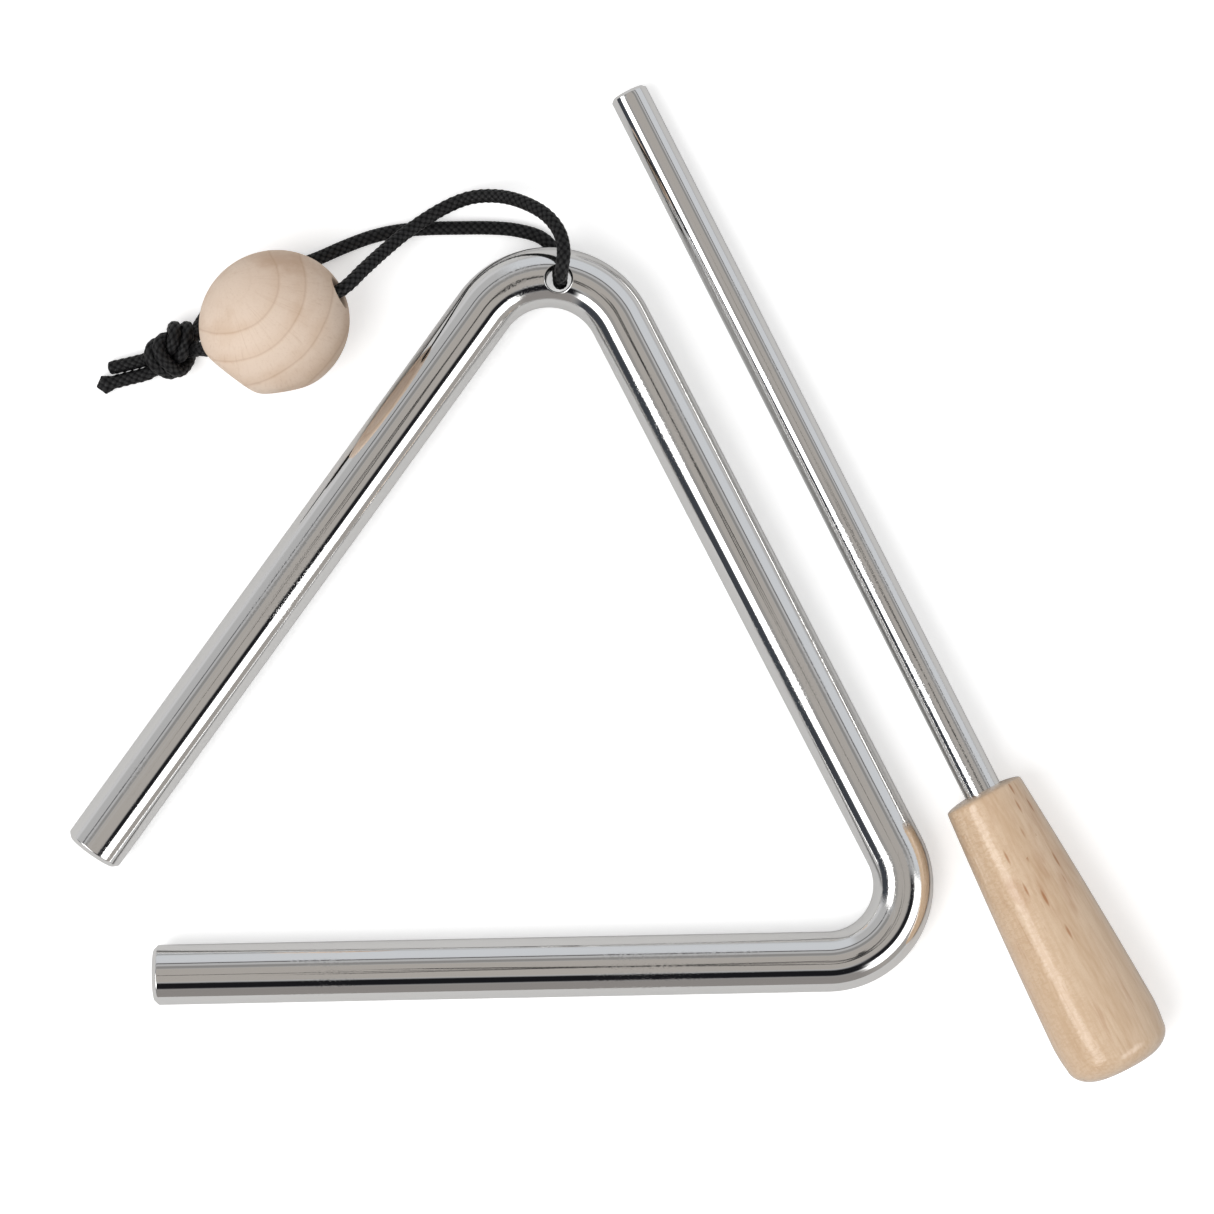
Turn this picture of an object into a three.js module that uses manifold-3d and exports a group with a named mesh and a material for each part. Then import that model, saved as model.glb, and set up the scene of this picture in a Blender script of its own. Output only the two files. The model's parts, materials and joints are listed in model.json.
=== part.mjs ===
// A triangle: a bent steel bar on a looped cord with a wooden bead, and its beater, lying on a table.
// Millimetres and degrees. X to the right and Y away from the player along the table, Z up.
import * as THREE from 'three';
import { mergeVertices } from 'three/addons/utils/BufferGeometryUtils.js';
import Module from 'manifold-3d';

const wasm = await Module();
wasm.setup();

// Driving sizes of the bar
const barDiameter = 8;
const rightLegLength = 113.1; // between the sharp corners of the two bends
const leftLegLength = 106.3; // from the sharp corner of the top bend to the free end
const baseLegLength = 106.3; // from the sharp corner of the right bend to the free end
const topBendAngle = 63.4; // inside angle between the two upper legs
const rightBendAngle = 63.7; // inside angle between the right leg and the base leg
const topBendRadius = 10.7;
const rightBendRadius = 10.2;
const barEndChamfer = 0.6;
const cordHoleInset = 0.3; // the hole lies this much inside the bar's middle line
const cordHoleTurn = 3; // and this many degrees round the bend towards the right leg

// Driving sizes of the cord holder
const cordDiameter = 1.9;
const beadLength = 20.1; // along the bore, before the bore takes its ends off
const beadDiameter = 19;
const beadMouthRound = 0.35;
const shortTailLength = 5.2;
const shortTailRound = 0.5; // round of its cut end
const longTailLength = 7;
const longTailFlareLength = 1.4; // melted end of the long tail
const longTailFlareRadius = 1.5;
const longTailRound = 0.4;

// Driving sizes of the beater
const rodDiameter = 5.1;
const rodFreeLength = 104.3; // from the tip to the handle's domed small end
const rodSeatDepth = 25;
const rodEdgeChamfer = 0.4;
const handleTaperLength = 33.8; // from the rim of the small end to the widest ring
const handleShoulderLength = 3.5; // gentle round behind the widest ring
const handleCornerLength = 3.1; // from the shoulder to the butt
const handleSmallDiameter = 10.9;
const handleWideDiameter = 14.84;
const handleButtDiameter = 6; // flat part of the butt
const handleDomeHeight = 0.9; // dome of the small end
const handleButtDome = 0.15;
const handleShoulderDrop = 0.27;
const handleTaperBulge = 0.3; // 0 is a straight taper
const handleLean = 0.75; // the turned handle is this much out of line with the rod

// Clearances
const seatClearance = 0.3; // round the rod in the handle and between neighbouring stretches of cord
const liftClearance = 0.4; // between the cord that lies under the bar and the bar above it
const holeClearance = 0.75; // round the cord in the bar's hole
const boreClearance = 1.15; // round the cord in the bead's bore, which is wide enough for two strands

// Where the pieces lie on the table. Places in plan are counted from the cord hole.
const baseLegTurn = 1.13; // the base leg rises this much to the right
const beadEndX = -46.6; // the bead's end on the knot's side
const beadEndY = -9.9;
const boreTurn = 24; // the bore's heading, from left to right
const boreTilt = 9; // and how much its right mouth is raised
const beaterGap = 8.5; // from the right leg to the rod at the tip
const beaterLead = 9.5; // how far the tip reaches past the top bend's sharp corner
const beaterToe = 0.6; // the beater closes in on the right leg by this angle

// Fineness
const barSides = 24;
const bendStep = 7.5; // degrees
const turnedSides = 32;
const beadRings = 18;
const knotSides = 12;
const cordSides = 8;
const cordStep = 2 * cordDiameter;
const cordCloseStep = cordDiameter; // near the knot
const cordBendStep = cordDiameter / 2; // round the bar

// Route of the cord's middle line, from the knot round under the bead, along the table, under the bar, up
// through its hole, over it, down across the first strand, up through the bead and back to the knot
const cordRoute = [
  [-48.4, -6.1, 1.5], [-47.7, -4.9, 1.1], [-46.2, -2.7, 1], [-43.6, -0.3, 1], [-40, 1.5, 1],
  [-36.1, 2.1, 1], [-32.4, 3.3, 1], [-29.2, 4.7, 1], [-25.2, 6.2, 1], [-21.6, 7, 1],
  [-18.1, 7.3, 1], [-13.5, 7.4, 1], [-9.1, 7.4, 1], [-5.7, 7.1, 1], [-2.2, 6, 1],
  [-0.5, 4, 1], [-0.1, 2.1, 1], [0, 0.6, 1.5], [0.1, 0, 2.9], [0.2, -0.2, 4.6],
  [0.2, -0.2, 8.6], [0.3, 0, 10.4], [0.4, 0.7, 11.6], [0.6, 2, 12.1], [0.7, 3.5, 12],
  [0.2, 5.8, 11.4], [-1.5, 8.2, 9.9], [-4.6, 10.2, 7.5], [-8.2, 11.3, 4.9], [-12, 11.2, 3.3],
  [-15.7, 9.7, 3], [-20.3, 6.6, 3.8], [-23.3, 3.9, 5.6], [-25.8, 1.3, 8.2], [-28.7, -1.6, 10.3],
  [-37.5, -5.5, 8.8], [-45.7, -9.2, 7.5], [-47.4, -9.2, 6.4], [-48.2, -8.9, 5.4],
];
// Points of the route, counted from 0, where one stretch of cord ends and the next begins
const underBarIndex = 13;
const pastBarIndex = 27;
const boreMiddleIndex = 35;

// Lobes of the overhand knot, each a centre and three radii, and the two tails that leave it
const knotLobes = [
  { at: [-49.9, -8, 3.4], radii: [2.3, 2.6, 2.6] },
  { at: [-52.5, -10.2, 2.9], radii: [2.6, 3.1, 2.8] },
  { at: [-50.9, -11.2, 2.7], radii: [2.3, 2.3, 2.5] },
];
const shortTail = { at: [-55.4, -10.3, 1.6], heading: 193, dip: 4 };
const longTail = { at: [-55.2, -12.2, 1.6], heading: 194, dip: 0.5 };

const { asin, atan, atan2, cos, hypot, PI, sin, sqrt } = Math;
const rad = THREE.MathUtils.degToRad;
const barRadius = barDiameter / 2;
const rodRadius = rodDiameter / 2;
const cordRadius = cordDiameter / 2;
const holeRadius = cordRadius + holeClearance;
const beadRadius = beadDiameter / 2;
const boreRadius = cordRadius + boreClearance;

const finish = {
  chrome: new THREE.MeshStandardMaterial({ color: 0xb9b8b6, roughness: 0.12, metalness: 1 }),
  cord: new THREE.MeshStandardMaterial({ color: 0x1b1b1c, roughness: 0.75, metalness: 0 }),
  bareWood: new THREE.MeshStandardMaterial({ color: 0xdcc4a8, roughness: 0.7, metalness: 0 }),
  varnishedWood: new THREE.MeshStandardMaterial({ color: 0xd3ad82, roughness: 0.3, metalness: 0 }),
};

function mesh(name, geometry, material) {
  const piece = new THREE.Mesh(geometry, material);
  piece.name = name;
  return piece;
}

// A solid for cutting and joining: vertices merged, faces without area left out
function toSolid(geometry) {
  const bare = geometry.clone();
  bare.deleteAttribute('normal');
  bare.deleteAttribute('uv');
  const merged = mergeVertices(bare);
  const corners = Array.from(merged.index.array);
  const faces = [];
  for (let i = 0; i < corners.length; i += 3) {
    const [a, b, c] = corners.slice(i, i + 3);
    if (a !== b && b !== c && c !== a) faces.push(a, b, c);
  }
  return new wasm.Manifold(new wasm.Mesh({
    numProp: 3,
    vertProperties: new Float32Array(merged.attributes.position.array),
    triVerts: new Uint32Array(faces),
  }));
}

function toGeometry(solid) {
  const { vertProperties, triVerts } = solid.getMesh();
  const geometry = new THREE.BufferGeometry();
  geometry.setAttribute('position', new THREE.BufferAttribute(vertProperties, 3));
  geometry.setIndex(new THREE.BufferAttribute(triVerts, 1));
  geometry.computeVertexNormals();
  return geometry;
}

// A turned piece: the profile is a list of [radius, station], turned about +X
function turned(profile, sides = turnedSides) {
  const points = profile.map(([radius, station]) => new THREE.Vector2(radius, station));
  return new THREE.LatheGeometry(points, sides).rotateZ(-PI / 2);
}

// A path that a sweep steps through station by station
class StationPath extends THREE.Curve {
  constructor(points, tangents) {
    super();
    this.points = points;
    this.tangents = tangents;
  }

  getUtoTmapping(u) {
    return u;
  }

  getPoint(t, target = new THREE.Vector3()) {
    const place = t * (this.points.length - 1);
    const before = Math.min(Math.floor(place), this.points.length - 2);
    return target.lerpVectors(this.points[before], this.points[before + 1], place - before);
  }

  getTangent(t, target = new THREE.Vector3()) {
    return target.copy(this.tangents[Math.round(t * (this.tangents.length - 1))]);
  }
}

function sweep(points, tangents, radius, sides) {
  const outline = Array.from({ length: sides }, (_, i) => new THREE.Vector2(
    radius * cos((2 * PI * i) / sides),
    radius * sin((2 * PI * i) / sides),
  ));
  return new THREE.ExtrudeGeometry(new THREE.Shape(outline), {
    steps: points.length - 1,
    bevelEnabled: false,
    extrudePath: new StationPath(points, tangents),
  });
}

const along = (heading) => new THREE.Vector3(cos(heading), sin(heading), 0);

// An arc that rounds the corner between two legs, from the first leg to the second
function bend(corner, firstLeg, secondLeg, insideAngle, radius) {
  const half = rad(insideAngle) / 2;
  const inward = firstLeg.clone().add(secondLeg).normalize();
  const centre = corner.clone().addScaledVector(inward, radius / sin(half));
  const sweepAngle = PI - 2 * half;
  const steps = Math.round(sweepAngle / rad(bendStep));
  const turnSide = Math.sign(secondLeg.clone().cross(firstLeg).z);
  const startAngle = atan2(-inward.y, -inward.x) - (turnSide * sweepAngle) / 2;
  const points = [];
  const tangents = [];
  for (let i = 0; i <= steps; i += 1) {
    const angle = startAngle + (turnSide * sweepAngle * i) / steps;
    const outward = along(angle);
    points.push(centre.clone().addScaledVector(outward, radius));
    tangents.push(new THREE.Vector3(-outward.y, outward.x, 0).multiplyScalar(turnSide));
  }
  return { centre, outward: inward.negate(), points, tangents };
}

// The bar's middle line, flat in its own plane. The origin is the right bend's sharp corner, the base
// leg runs along -X and the top bend lies towards +Y.
const baseHeading = PI;
const rightHeading = PI - rad(rightBendAngle);
const leftHeading = rightHeading + PI - rad(topBendAngle);
const topCorner = along(rightHeading).multiplyScalar(rightLegLength);
const topBend = bend(
  topCorner, along(rightHeading).negate(), along(leftHeading), topBendAngle, topBendRadius,
);
const rightBend = bend(
  new THREE.Vector3(), along(baseHeading), along(rightHeading), rightBendAngle, rightBendRadius,
);

const baseEnd = along(baseHeading).multiplyScalar(baseLegLength);
const leftEnd = topCorner.clone().addScaledVector(along(leftHeading), leftLegLength);
const holeAngle = atan2(topBend.outward.y, topBend.outward.x) - rad(cordHoleTurn);
const holePlace = topBend.centre.clone()
  .addScaledVector(along(holeAngle), topBendRadius - cordHoleInset);

// Takes the sharp edge off a bar end: a ring whose inner cone is the chamfer
function endCutter(end, heading) {
  const spare = 1;
  const inner = barRadius - barEndChamfer - spare;
  const outer = barRadius + spare;
  const depth = barEndChamfer + spare;
  const ring = turned([[inner, spare], [outer, -depth], [outer, spare], [inner, spare]], barSides);
  return toSolid(ring.rotateZ(heading).translate(end.x, end.y, end.z));
}

function triangleBar() {
  const points = [baseEnd, ...rightBend.points, ...topBend.points, leftEnd];
  const tangents = [
    along(baseHeading).negate(), ...rightBend.tangents, ...topBend.tangents, along(leftHeading),
  ];
  const hole = new THREE.CylinderGeometry(holeRadius, holeRadius, 2 * barDiameter, barSides)
    .rotateX(PI / 2)
    .translate(holePlace.x, holePlace.y, 0);
  const bar = toSolid(sweep(points, tangents, barRadius, barSides))
    .subtract(toSolid(hole))
    .subtract(endCutter(baseEnd, baseHeading))
    .subtract(endCutter(leftEnd, leftHeading));
  return mesh('triangle_bar', toGeometry(bar), finish.chrome);
}

// The bar lies with its base leg on the table and its top on the cord that passes under the hole
const barLift = cordDiameter + liftClearance;
const barTilt = asin(barLift / holePlace.y);
const barPose = new THREE.Group();
barPose.rotation.set(barTilt, 0, rad(baseLegTurn), 'ZYX');
barPose.updateMatrix();
const holeReach = holePlace.clone().applyMatrix4(barPose.matrix);
barPose.position.set(-holeReach.x, -holeReach.y, barRadius);
barPose.updateMatrix();
barPose.add(triangleBar());

// The cord's route, and the length along it at each of its points
const cordLine = new THREE.CatmullRomCurve3(
  cordRoute.map((point) => new THREE.Vector3(...point)), false, 'centripetal',
);
const divisionsPerStep = 40;
cordLine.arcLengthDivisions = (cordRoute.length - 1) * divisionsPerStep;
const cordLengths = cordLine.getLengths();
const lengthAt = (index) => cordLengths[index * divisionsPerStep];
const lastIndex = cordRoute.length - 1;

// A stretch of the cord between two points of its route, which runs straight for one diameter at each end
// and stops short of the stretch that follows
function stretch(name, firstIndex, endIndex, step) {
  const start = lengthAt(firstIndex) + (firstIndex > 0 ? seatClearance / 2 : 0);
  const end = lengthAt(endIndex) - (endIndex < lastIndex ? seatClearance / 2 : 0);
  const curved = end - start - 2 * cordDiameter;
  const count = Math.round(curved / step);
  const marks = [start];
  for (let i = 0; i <= count; i += 1) {
    marks.push(start + cordDiameter + (curved * i) / count);
  }
  marks.push(end);
  const shares = marks.map((mark) => mark / lengthAt(lastIndex));
  const points = shares.map((share) => cordLine.getPointAt(share));
  const tangents = shares.map((share) => cordLine.getTangentAt(share));
  const last = points.length - 1;
  tangents[0].subVectors(points[1], points[0]).normalize();
  tangents[last].subVectors(points[last], points[last - 1]).normalize();
  return mesh(name, sweep(points, tangents, cordRadius, cordSides), finish.cord);
}

const cords = [
  stretch('cord_back_strand', 0, underBarIndex, cordStep),
  stretch('cord_bar_loop', underBarIndex, pastBarIndex, cordBendStep),
  stretch('cord_front_strand', pastBarIndex, boreMiddleIndex, cordStep),
  stretch('cord_bore_strand', boreMiddleIndex, lastIndex, cordCloseStep),
];

function knot() {
  const lobes = knotLobes.map(({ at, radii }) => toSolid(
    new THREE.SphereGeometry(1, knotSides, knotSides / 2).scale(...radii).translate(...at),
  ));
  const whole = lobes.reduce((joined, lobe) => joined.add(lobe));
  return mesh('cord_knot', toGeometry(whole), finish.cord);
}

function tail(name, profile, { at, heading, dip }) {
  const piece = mesh(name, turned(profile, cordSides), finish.cord);
  piece.rotation.set(0, rad(dip), rad(heading), 'ZYX');
  piece.position.set(...at);
  return piece;
}

const shortTailProfile = [
  [0, 0], [cordRadius, 0], [cordRadius, shortTailLength - shortTailRound],
  [cordRadius - shortTailRound, shortTailLength], [0, shortTailLength],
];
const longTailProfile = [
  [0, 0], [cordRadius, 0], [cordRadius, longTailLength - longTailFlareLength],
  [longTailFlareRadius, longTailLength - longTailRound], [0, longTailLength],
];

// The bead: a turned wooden ball, a little longer along its bore, with the mouths' edges rounded
function bead() {
  const onBall = (radius) => (beadLength / 2) * sqrt(1 - (radius / beadRadius) ** 2);
  const mouthRadius = boreRadius + beadMouthRound;
  const mouthStation = onBall(mouthRadius);
  const wallStation = mouthStation - beadMouthRound;
  const edge = asin(mouthRadius / beadRadius);
  const profile = [[boreRadius, wallStation], [boreRadius, -wallStation]];
  for (let i = 0; i <= beadRings; i += 1) {
    const angle = PI - edge - ((PI - 2 * edge) * i) / beadRings;
    profile.push([beadRadius * sin(angle), (beadLength / 2) * cos(angle)]);
  }
  profile.push(profile[0]);
  const piece = mesh('holder_bead', turned(profile), finish.bareWood);
  const tilt = rad(boreTilt);
  const halfInPlan = (beadLength / 2) * cos(tilt);
  piece.rotation.set(0, -tilt, rad(boreTurn), 'ZYX');
  piece.position.set(beadEndX, beadEndY, hypot((beadLength / 2) * sin(tilt), beadRadius * cos(tilt)))
    .addScaledVector(along(rad(boreTurn)), halfInPlan);
  return piece;
}

// The beater along its own +X axis, with the rod's tip at the origin
function beaterRod() {
  const length = rodFreeLength + rodSeatDepth;
  const profile = [
    [0, 0], [rodRadius - rodEdgeChamfer, 0], [rodRadius, rodEdgeChamfer],
    [rodRadius, length - rodEdgeChamfer], [rodRadius - rodEdgeChamfer, length], [0, length],
  ];
  return mesh('beater_rod', turned(profile), finish.chrome);
}

// Handle profile from the bottom of its blind bore: the domed small end, the taper, the widest ring, the
// shoulder, the corner and the butt. Stations count from the rim of the small end.
function handleProfile() {
  const small = handleSmallDiameter / 2;
  const wide = handleWideDiameter / 2;
  const butt = handleButtDiameter / 2;
  const seatRadius = rodRadius + seatClearance;
  const seatEnd = rodSeatDepth - handleDomeHeight + seatClearance;
  const profile = [[0, seatEnd], [seatRadius, seatEnd]];
  const domeSteps = 4;
  for (let i = 0; i <= domeSteps; i += 1) {
    const radius = seatRadius + (small - seatRadius) * sin((PI / 2) * (i / domeSteps));
    profile.push([radius, -handleDomeHeight * sqrt(1 - (radius / small) ** 2)]);
  }
  const taperSteps = 6;
  for (let i = 1; i <= taperSteps; i += 1) {
    const share = i / taperSteps;
    const swell = share + handleTaperBulge * (share - share ** 2);
    profile.push([small + (wide - small) * swell, handleTaperLength * share]);
  }
  const shoulder = wide - handleShoulderDrop;
  const shoulderEnd = handleTaperLength + handleShoulderLength;
  const shoulderSteps = 2;
  for (let i = 1; i <= shoulderSteps; i += 1) {
    const share = i / shoulderSteps;
    profile.push([
      wide - handleShoulderDrop * share ** 2,
      handleTaperLength + handleShoulderLength * share,
    ]);
  }
  const cornerSteps = 6;
  for (let i = 1; i <= cornerSteps; i += 1) {
    const angle = (PI / 2) * (i / cornerSteps);
    profile.push([butt + (shoulder - butt) * cos(angle), shoulderEnd + handleCornerLength * sin(angle)]);
  }
  profile.push([0, shoulderEnd + handleCornerLength + handleButtDome]);
  return profile;
}

function beaterHandle() {
  const piece = mesh('beater_handle', turned(handleProfile()), finish.varnishedWood);
  const leanStation = rodSeatDepth / 2; // the lean turns about the middle of the rod's seat
  const seat = new THREE.Group();
  seat.position.x = rodFreeLength + handleDomeHeight + leanStation;
  seat.rotation.z = rad(handleLean);
  piece.position.x = -leanStation;
  seat.add(piece);
  return seat;
}

// The beater lies beside the right leg, on its tip and on the handle's widest ring
const rightLegHeading = rightHeading + PI + rad(baseLegTurn);
const topCornerPlace = topCorner.clone().applyMatrix4(barPose.matrix);
const beaterAside = barRadius + rodRadius + beaterGap;
const beaterTilt = atan(
  (handleWideDiameter / 2 - rodRadius) / (rodFreeLength + handleDomeHeight + handleTaperLength),
);
const beater = new THREE.Group();
beater.rotation.set(0, -beaterTilt, rightLegHeading - rad(beaterToe), 'ZYX');
beater.position.copy(topCornerPlace)
  .addScaledVector(along(rightLegHeading), -beaterLead)
  .addScaledVector(along(rightLegHeading + PI / 2), beaterAside)
  .setZ(rodRadius * cos(beaterTilt) + rodEdgeChamfer * sin(beaterTilt));
beater.add(beaterRod(), beaterHandle());

const pieces = new THREE.Group();
pieces.add(barPose, bead(), beater);

// The origin is the middle of the underside of the box round everything but the cord
pieces.updateMatrixWorld(true);
const box = new THREE.Box3().setFromObject(pieces, true);
const middle = box.getCenter(new THREE.Vector3());
const triangle = new THREE.Group();
triangle.add(
  pieces,
  ...cords,
  knot(),
  tail('cord_short_tail', shortTailProfile, shortTail),
  tail('cord_long_tail', longTailProfile, longTail),
);
triangle.position.set(-middle.x, -middle.y, -box.min.z);

export default triangle;
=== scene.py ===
"""The looks of a triangle: a bent chromed bar on a looped cord with a wooden bead, and its beater.

Sizes in the classes of pieces are millimetres and degrees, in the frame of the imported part. Those in the
finishes are metres, as materials work on the finished meshes. The camera, the floor and the lights come
first, then the cords, then the hard pieces.
"""

import json
import logging
import math
from dataclasses import dataclass, field
from enum import Enum
from typing import Optional, Sequence, Union

import bpy
import numpy as np
from mathutils import Matrix

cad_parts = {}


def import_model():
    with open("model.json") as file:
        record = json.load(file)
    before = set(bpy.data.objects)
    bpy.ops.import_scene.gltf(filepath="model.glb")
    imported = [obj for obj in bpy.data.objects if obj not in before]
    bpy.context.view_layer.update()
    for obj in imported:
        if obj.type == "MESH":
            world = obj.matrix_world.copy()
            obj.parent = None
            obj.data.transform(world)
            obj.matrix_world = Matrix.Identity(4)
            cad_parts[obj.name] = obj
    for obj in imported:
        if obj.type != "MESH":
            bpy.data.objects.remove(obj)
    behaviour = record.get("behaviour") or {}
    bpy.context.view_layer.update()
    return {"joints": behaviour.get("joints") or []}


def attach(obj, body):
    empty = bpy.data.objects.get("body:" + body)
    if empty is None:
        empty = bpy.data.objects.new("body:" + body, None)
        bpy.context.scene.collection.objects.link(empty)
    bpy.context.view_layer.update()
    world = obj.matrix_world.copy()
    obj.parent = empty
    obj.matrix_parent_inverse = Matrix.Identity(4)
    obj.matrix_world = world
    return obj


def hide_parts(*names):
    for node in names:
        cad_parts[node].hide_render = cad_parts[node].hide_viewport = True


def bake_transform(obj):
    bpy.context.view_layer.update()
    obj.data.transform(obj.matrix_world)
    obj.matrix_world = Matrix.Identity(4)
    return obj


Vector3 = Sequence[float]
Place = tuple[float, float, float]
Colour = tuple[float, float, float]
Face = tuple[int, ...]
Value = Union[float, Sequence[float], bpy.types.NodeSocket]

MM = 0.001
LIE = "lie"
WHITE: Colour = (1.0, 1.0, 1.0)
UP: Place = (0.0, 0.0, 1.0)
POLE_RADIUS = 0.001

log = logging.getLogger("triangle")


class Slot(Enum):
    """Material slots of the record."""

    CHROME = "chrome_steel"
    CORD = "black_cord"
    BARE_WOOD = "bare_wood"
    VARNISHED_WOOD = "varnished_wood"


class Tip(Enum):
    """How a stretch of cord ends."""

    CUT = "cut square"
    ROUNDED = "rounded"
    MELTED = "melted and pressed flat"


# Numbers and curves


def unit(vectors: np.ndarray) -> np.ndarray:
    """Scale vectors to length one.

    Args:
        vectors: One vector or an array of them along the last axis.

    Returns:
        The same array with every vector of length one.
    """
    vectors = np.asarray(vectors, float)
    return vectors / np.maximum(np.linalg.norm(vectors, axis=-1, keepdims=True), 1e-12)


def eased(share: np.ndarray) -> np.ndarray:
    """Ease a share in and out: three times its square less twice its cube."""
    return share * share * (3 - 2 * share)


def rounded_line(points: np.ndarray, divisions: int = 60) -> np.ndarray:
    """Draw the centripetal Catmull-Rom curve through points.

    Each span is a cubic whose end slopes follow from the square roots of the three chord lengths round it.

    Args:
        points: Points that the curve passes, one per row.
        divisions: Samples on each span.

    Returns:
        Samples along the curve, one per row.
    """
    points = np.asarray(points, float)
    padded = np.vstack([2 * points[0] - points[1], points, 2 * points[-1] - points[-2]])
    p0, p1, p2, p3 = padded[:-3], padded[1:-2], padded[2:-1], padded[3:]
    chords = ((p0, p1), (p1, p2), (p2, p3))
    d0, d1, d2 = (np.sqrt(np.linalg.norm(b - a, axis=1))[:, None] for a, b in chords)
    m1 = ((p1 - p0) / d0 - (p2 - p0) / (d0 + d1) + (p2 - p1) / d1) * d1
    m2 = ((p2 - p1) / d1 - (p3 - p1) / (d1 + d2) + (p3 - p2) / d2) * d1
    t = (np.arange(divisions) / divisions)[None, :, None]
    p1, p2, m1, m2 = (a[:, None, :] for a in (p1, p2, m1, m2))
    spans = (2 * t**3 - 3 * t**2 + 1) * p1 + (t**3 - 2 * t**2 + t) * m1
    spans = spans + (3 * t**2 - 2 * t**3) * p2 + (t**3 - t**2) * m2
    return np.vstack([spans.reshape(-1, 3), points[-1]])


def line_lengths(points: np.ndarray) -> np.ndarray:
    """Measure the length along a line up to each of its points.

    Args:
        points: The line, one point per row.

    Returns:
        One length per point, starting at zero.
    """
    return np.concatenate([[0.0], np.cumsum(np.linalg.norm(np.diff(points, axis=0), axis=1))])


def evenly_spaced(points: np.ndarray, step: float) -> np.ndarray:
    """Put new points along a line at an even step.

    Args:
        points: The line, one point per row.
        step: The wanted distance, which is fitted to the line's length.

    Returns:
        The new points, both ends kept.
    """
    lengths = line_lengths(points)
    count = max(2, int(round(lengths[-1] / step)))
    marks = np.linspace(0, lengths[-1], count + 1)
    return np.stack([np.interp(marks, lengths, points[:, i]) for i in range(3)], axis=1)


def softened(line: np.ndarray, rounds: int) -> np.ndarray:
    """Round off a line's corners.

    In each round every inner point moves half the way to the middle of its two neighbours.

    Args:
        line: The line, one point per row.
        rounds: How often the points move.

    Returns:
        The softened line, both ends kept.
    """
    line = line.copy()
    for _ in range(rounds):
        line[1:-1] += 0.25 * (line[:-2] + line[2:] - 2 * line[1:-1])
    return line


def carried_frames(points: np.ndarray) -> tuple[np.ndarray, np.ndarray]:
    """Carry a side vector along a line without twisting it, from near the vertical at its start.

    Args:
        points: The line, one point per row.

    Returns:
        The sides and the vectors square to them and to the line, one per point.
    """
    tangents = unit(np.gradient(points, axis=0))
    sides = np.empty_like(tangents)
    side = np.array(UP)
    for i, tangent in enumerate(tangents):
        side = side - tangent * (side @ tangent)
        side /= max(np.linalg.norm(side), 1e-9)
        sides[i] = side
    return sides, np.cross(tangents, sides)


def rotation_from_axis(axis: Vector3) -> np.ndarray:
    """Build the rotation whose first column is an axis and whose third lies near the vertical.

    Args:
        axis: Where the local X axis points.

    Returns:
        A 3 by 3 matrix with the local axes as columns.
    """
    x = unit(np.asarray(axis, float))
    y = unit(np.cross(UP, x))
    return np.stack([x, y, np.cross(x, y)], axis=1)


def rotation_about(axis: int, angle: float) -> np.ndarray:
    """Build the rotation about one coordinate axis.

    Args:
        axis: The axis's number, 0 to 2.
        angle: The angle in degrees.

    Returns:
        A 3 by 3 matrix.
    """
    matrix = np.eye(3)
    i, j = (axis + 1) % 3, (axis + 2) % 3
    matrix[i, i] = matrix[j, j] = math.cos(math.radians(angle))
    matrix[j, i] = math.sin(math.radians(angle))
    matrix[i, j] = -matrix[j, i]
    return matrix


# Meshes


@dataclass
class Shell:
    """Vertices and faces of one surface, gathered before it becomes a mesh.

    The lie is two or three numbers that each vertex carries for its material.
    """

    vertices: np.ndarray
    faces: list[Face]
    normals: Optional[np.ndarray] = None
    lie: Optional[np.ndarray] = None

    def to_object(
        self, name: str, finish: bpy.types.Material, sharp_angle: Optional[float] = None
    ) -> bpy.types.Object:
        """Turn the surface into a smooth-shaded object at the origin.

        Args:
            name: The object's name.
            finish: Its material.
            sharp_angle: Edges bent by more degrees than this stay sharp; none if left out.

        Returns:
            The new object, linked to the scene.
        """
        data = bpy.data.meshes.new(name)
        data.from_pydata((self.vertices * MM).tolist(), [], self.faces)
        data.polygons.foreach_set("use_smooth", np.ones(len(data.polygons), bool))
        if self.lie is not None:
            layer = data.attributes.new(LIE, "FLOAT_VECTOR", "POINT")
            flat = np.zeros((len(self.lie), 3), np.float32)
            flat[:, : self.lie.shape[1]] = self.lie
            layer.data.foreach_set("vector", flat.ravel())
        if sharp_angle is not None:
            data.set_sharp_from_angle(angle=math.radians(sharp_angle))
        data.update()
        if self.normals is not None:
            data.normals_split_custom_set_from_vertices(self.normals.tolist())
        data.materials.append(finish)
        piece = bpy.data.objects.new(name, data)
        bpy.context.scene.collection.objects.link(piece)
        return piece


@dataclass
class Patchwork:
    """Grids of vertices with their normals, numbered on as they are added to one mesh."""

    vertices: list[np.ndarray] = field(default_factory=list)
    normals: list[np.ndarray] = field(default_factory=list)
    count: int = 0

    def add(self, points: np.ndarray, normals: np.ndarray) -> np.ndarray:
        """Add a grid of vertices.

        Args:
            points: The vertices, along the last axis.
            normals: Their normals, or one row of them that every row shares.

        Returns:
            The vertices' indices in the mesh, shaped like the grid.
        """
        index = self.count + np.arange(points[..., 0].size).reshape(points.shape[:-1])
        self.vertices.append(points.reshape(-1, 3))
        self.normals.append(np.broadcast_to(normals, points.shape).reshape(-1, 3))
        self.count += index.size
        return index


def grid_indices(grid: np.ndarray) -> np.ndarray:
    """Number the vertices of a grid of rings, row by row."""
    return np.arange(grid.shape[0] * grid.shape[1]).reshape(grid.shape[:2])


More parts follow.
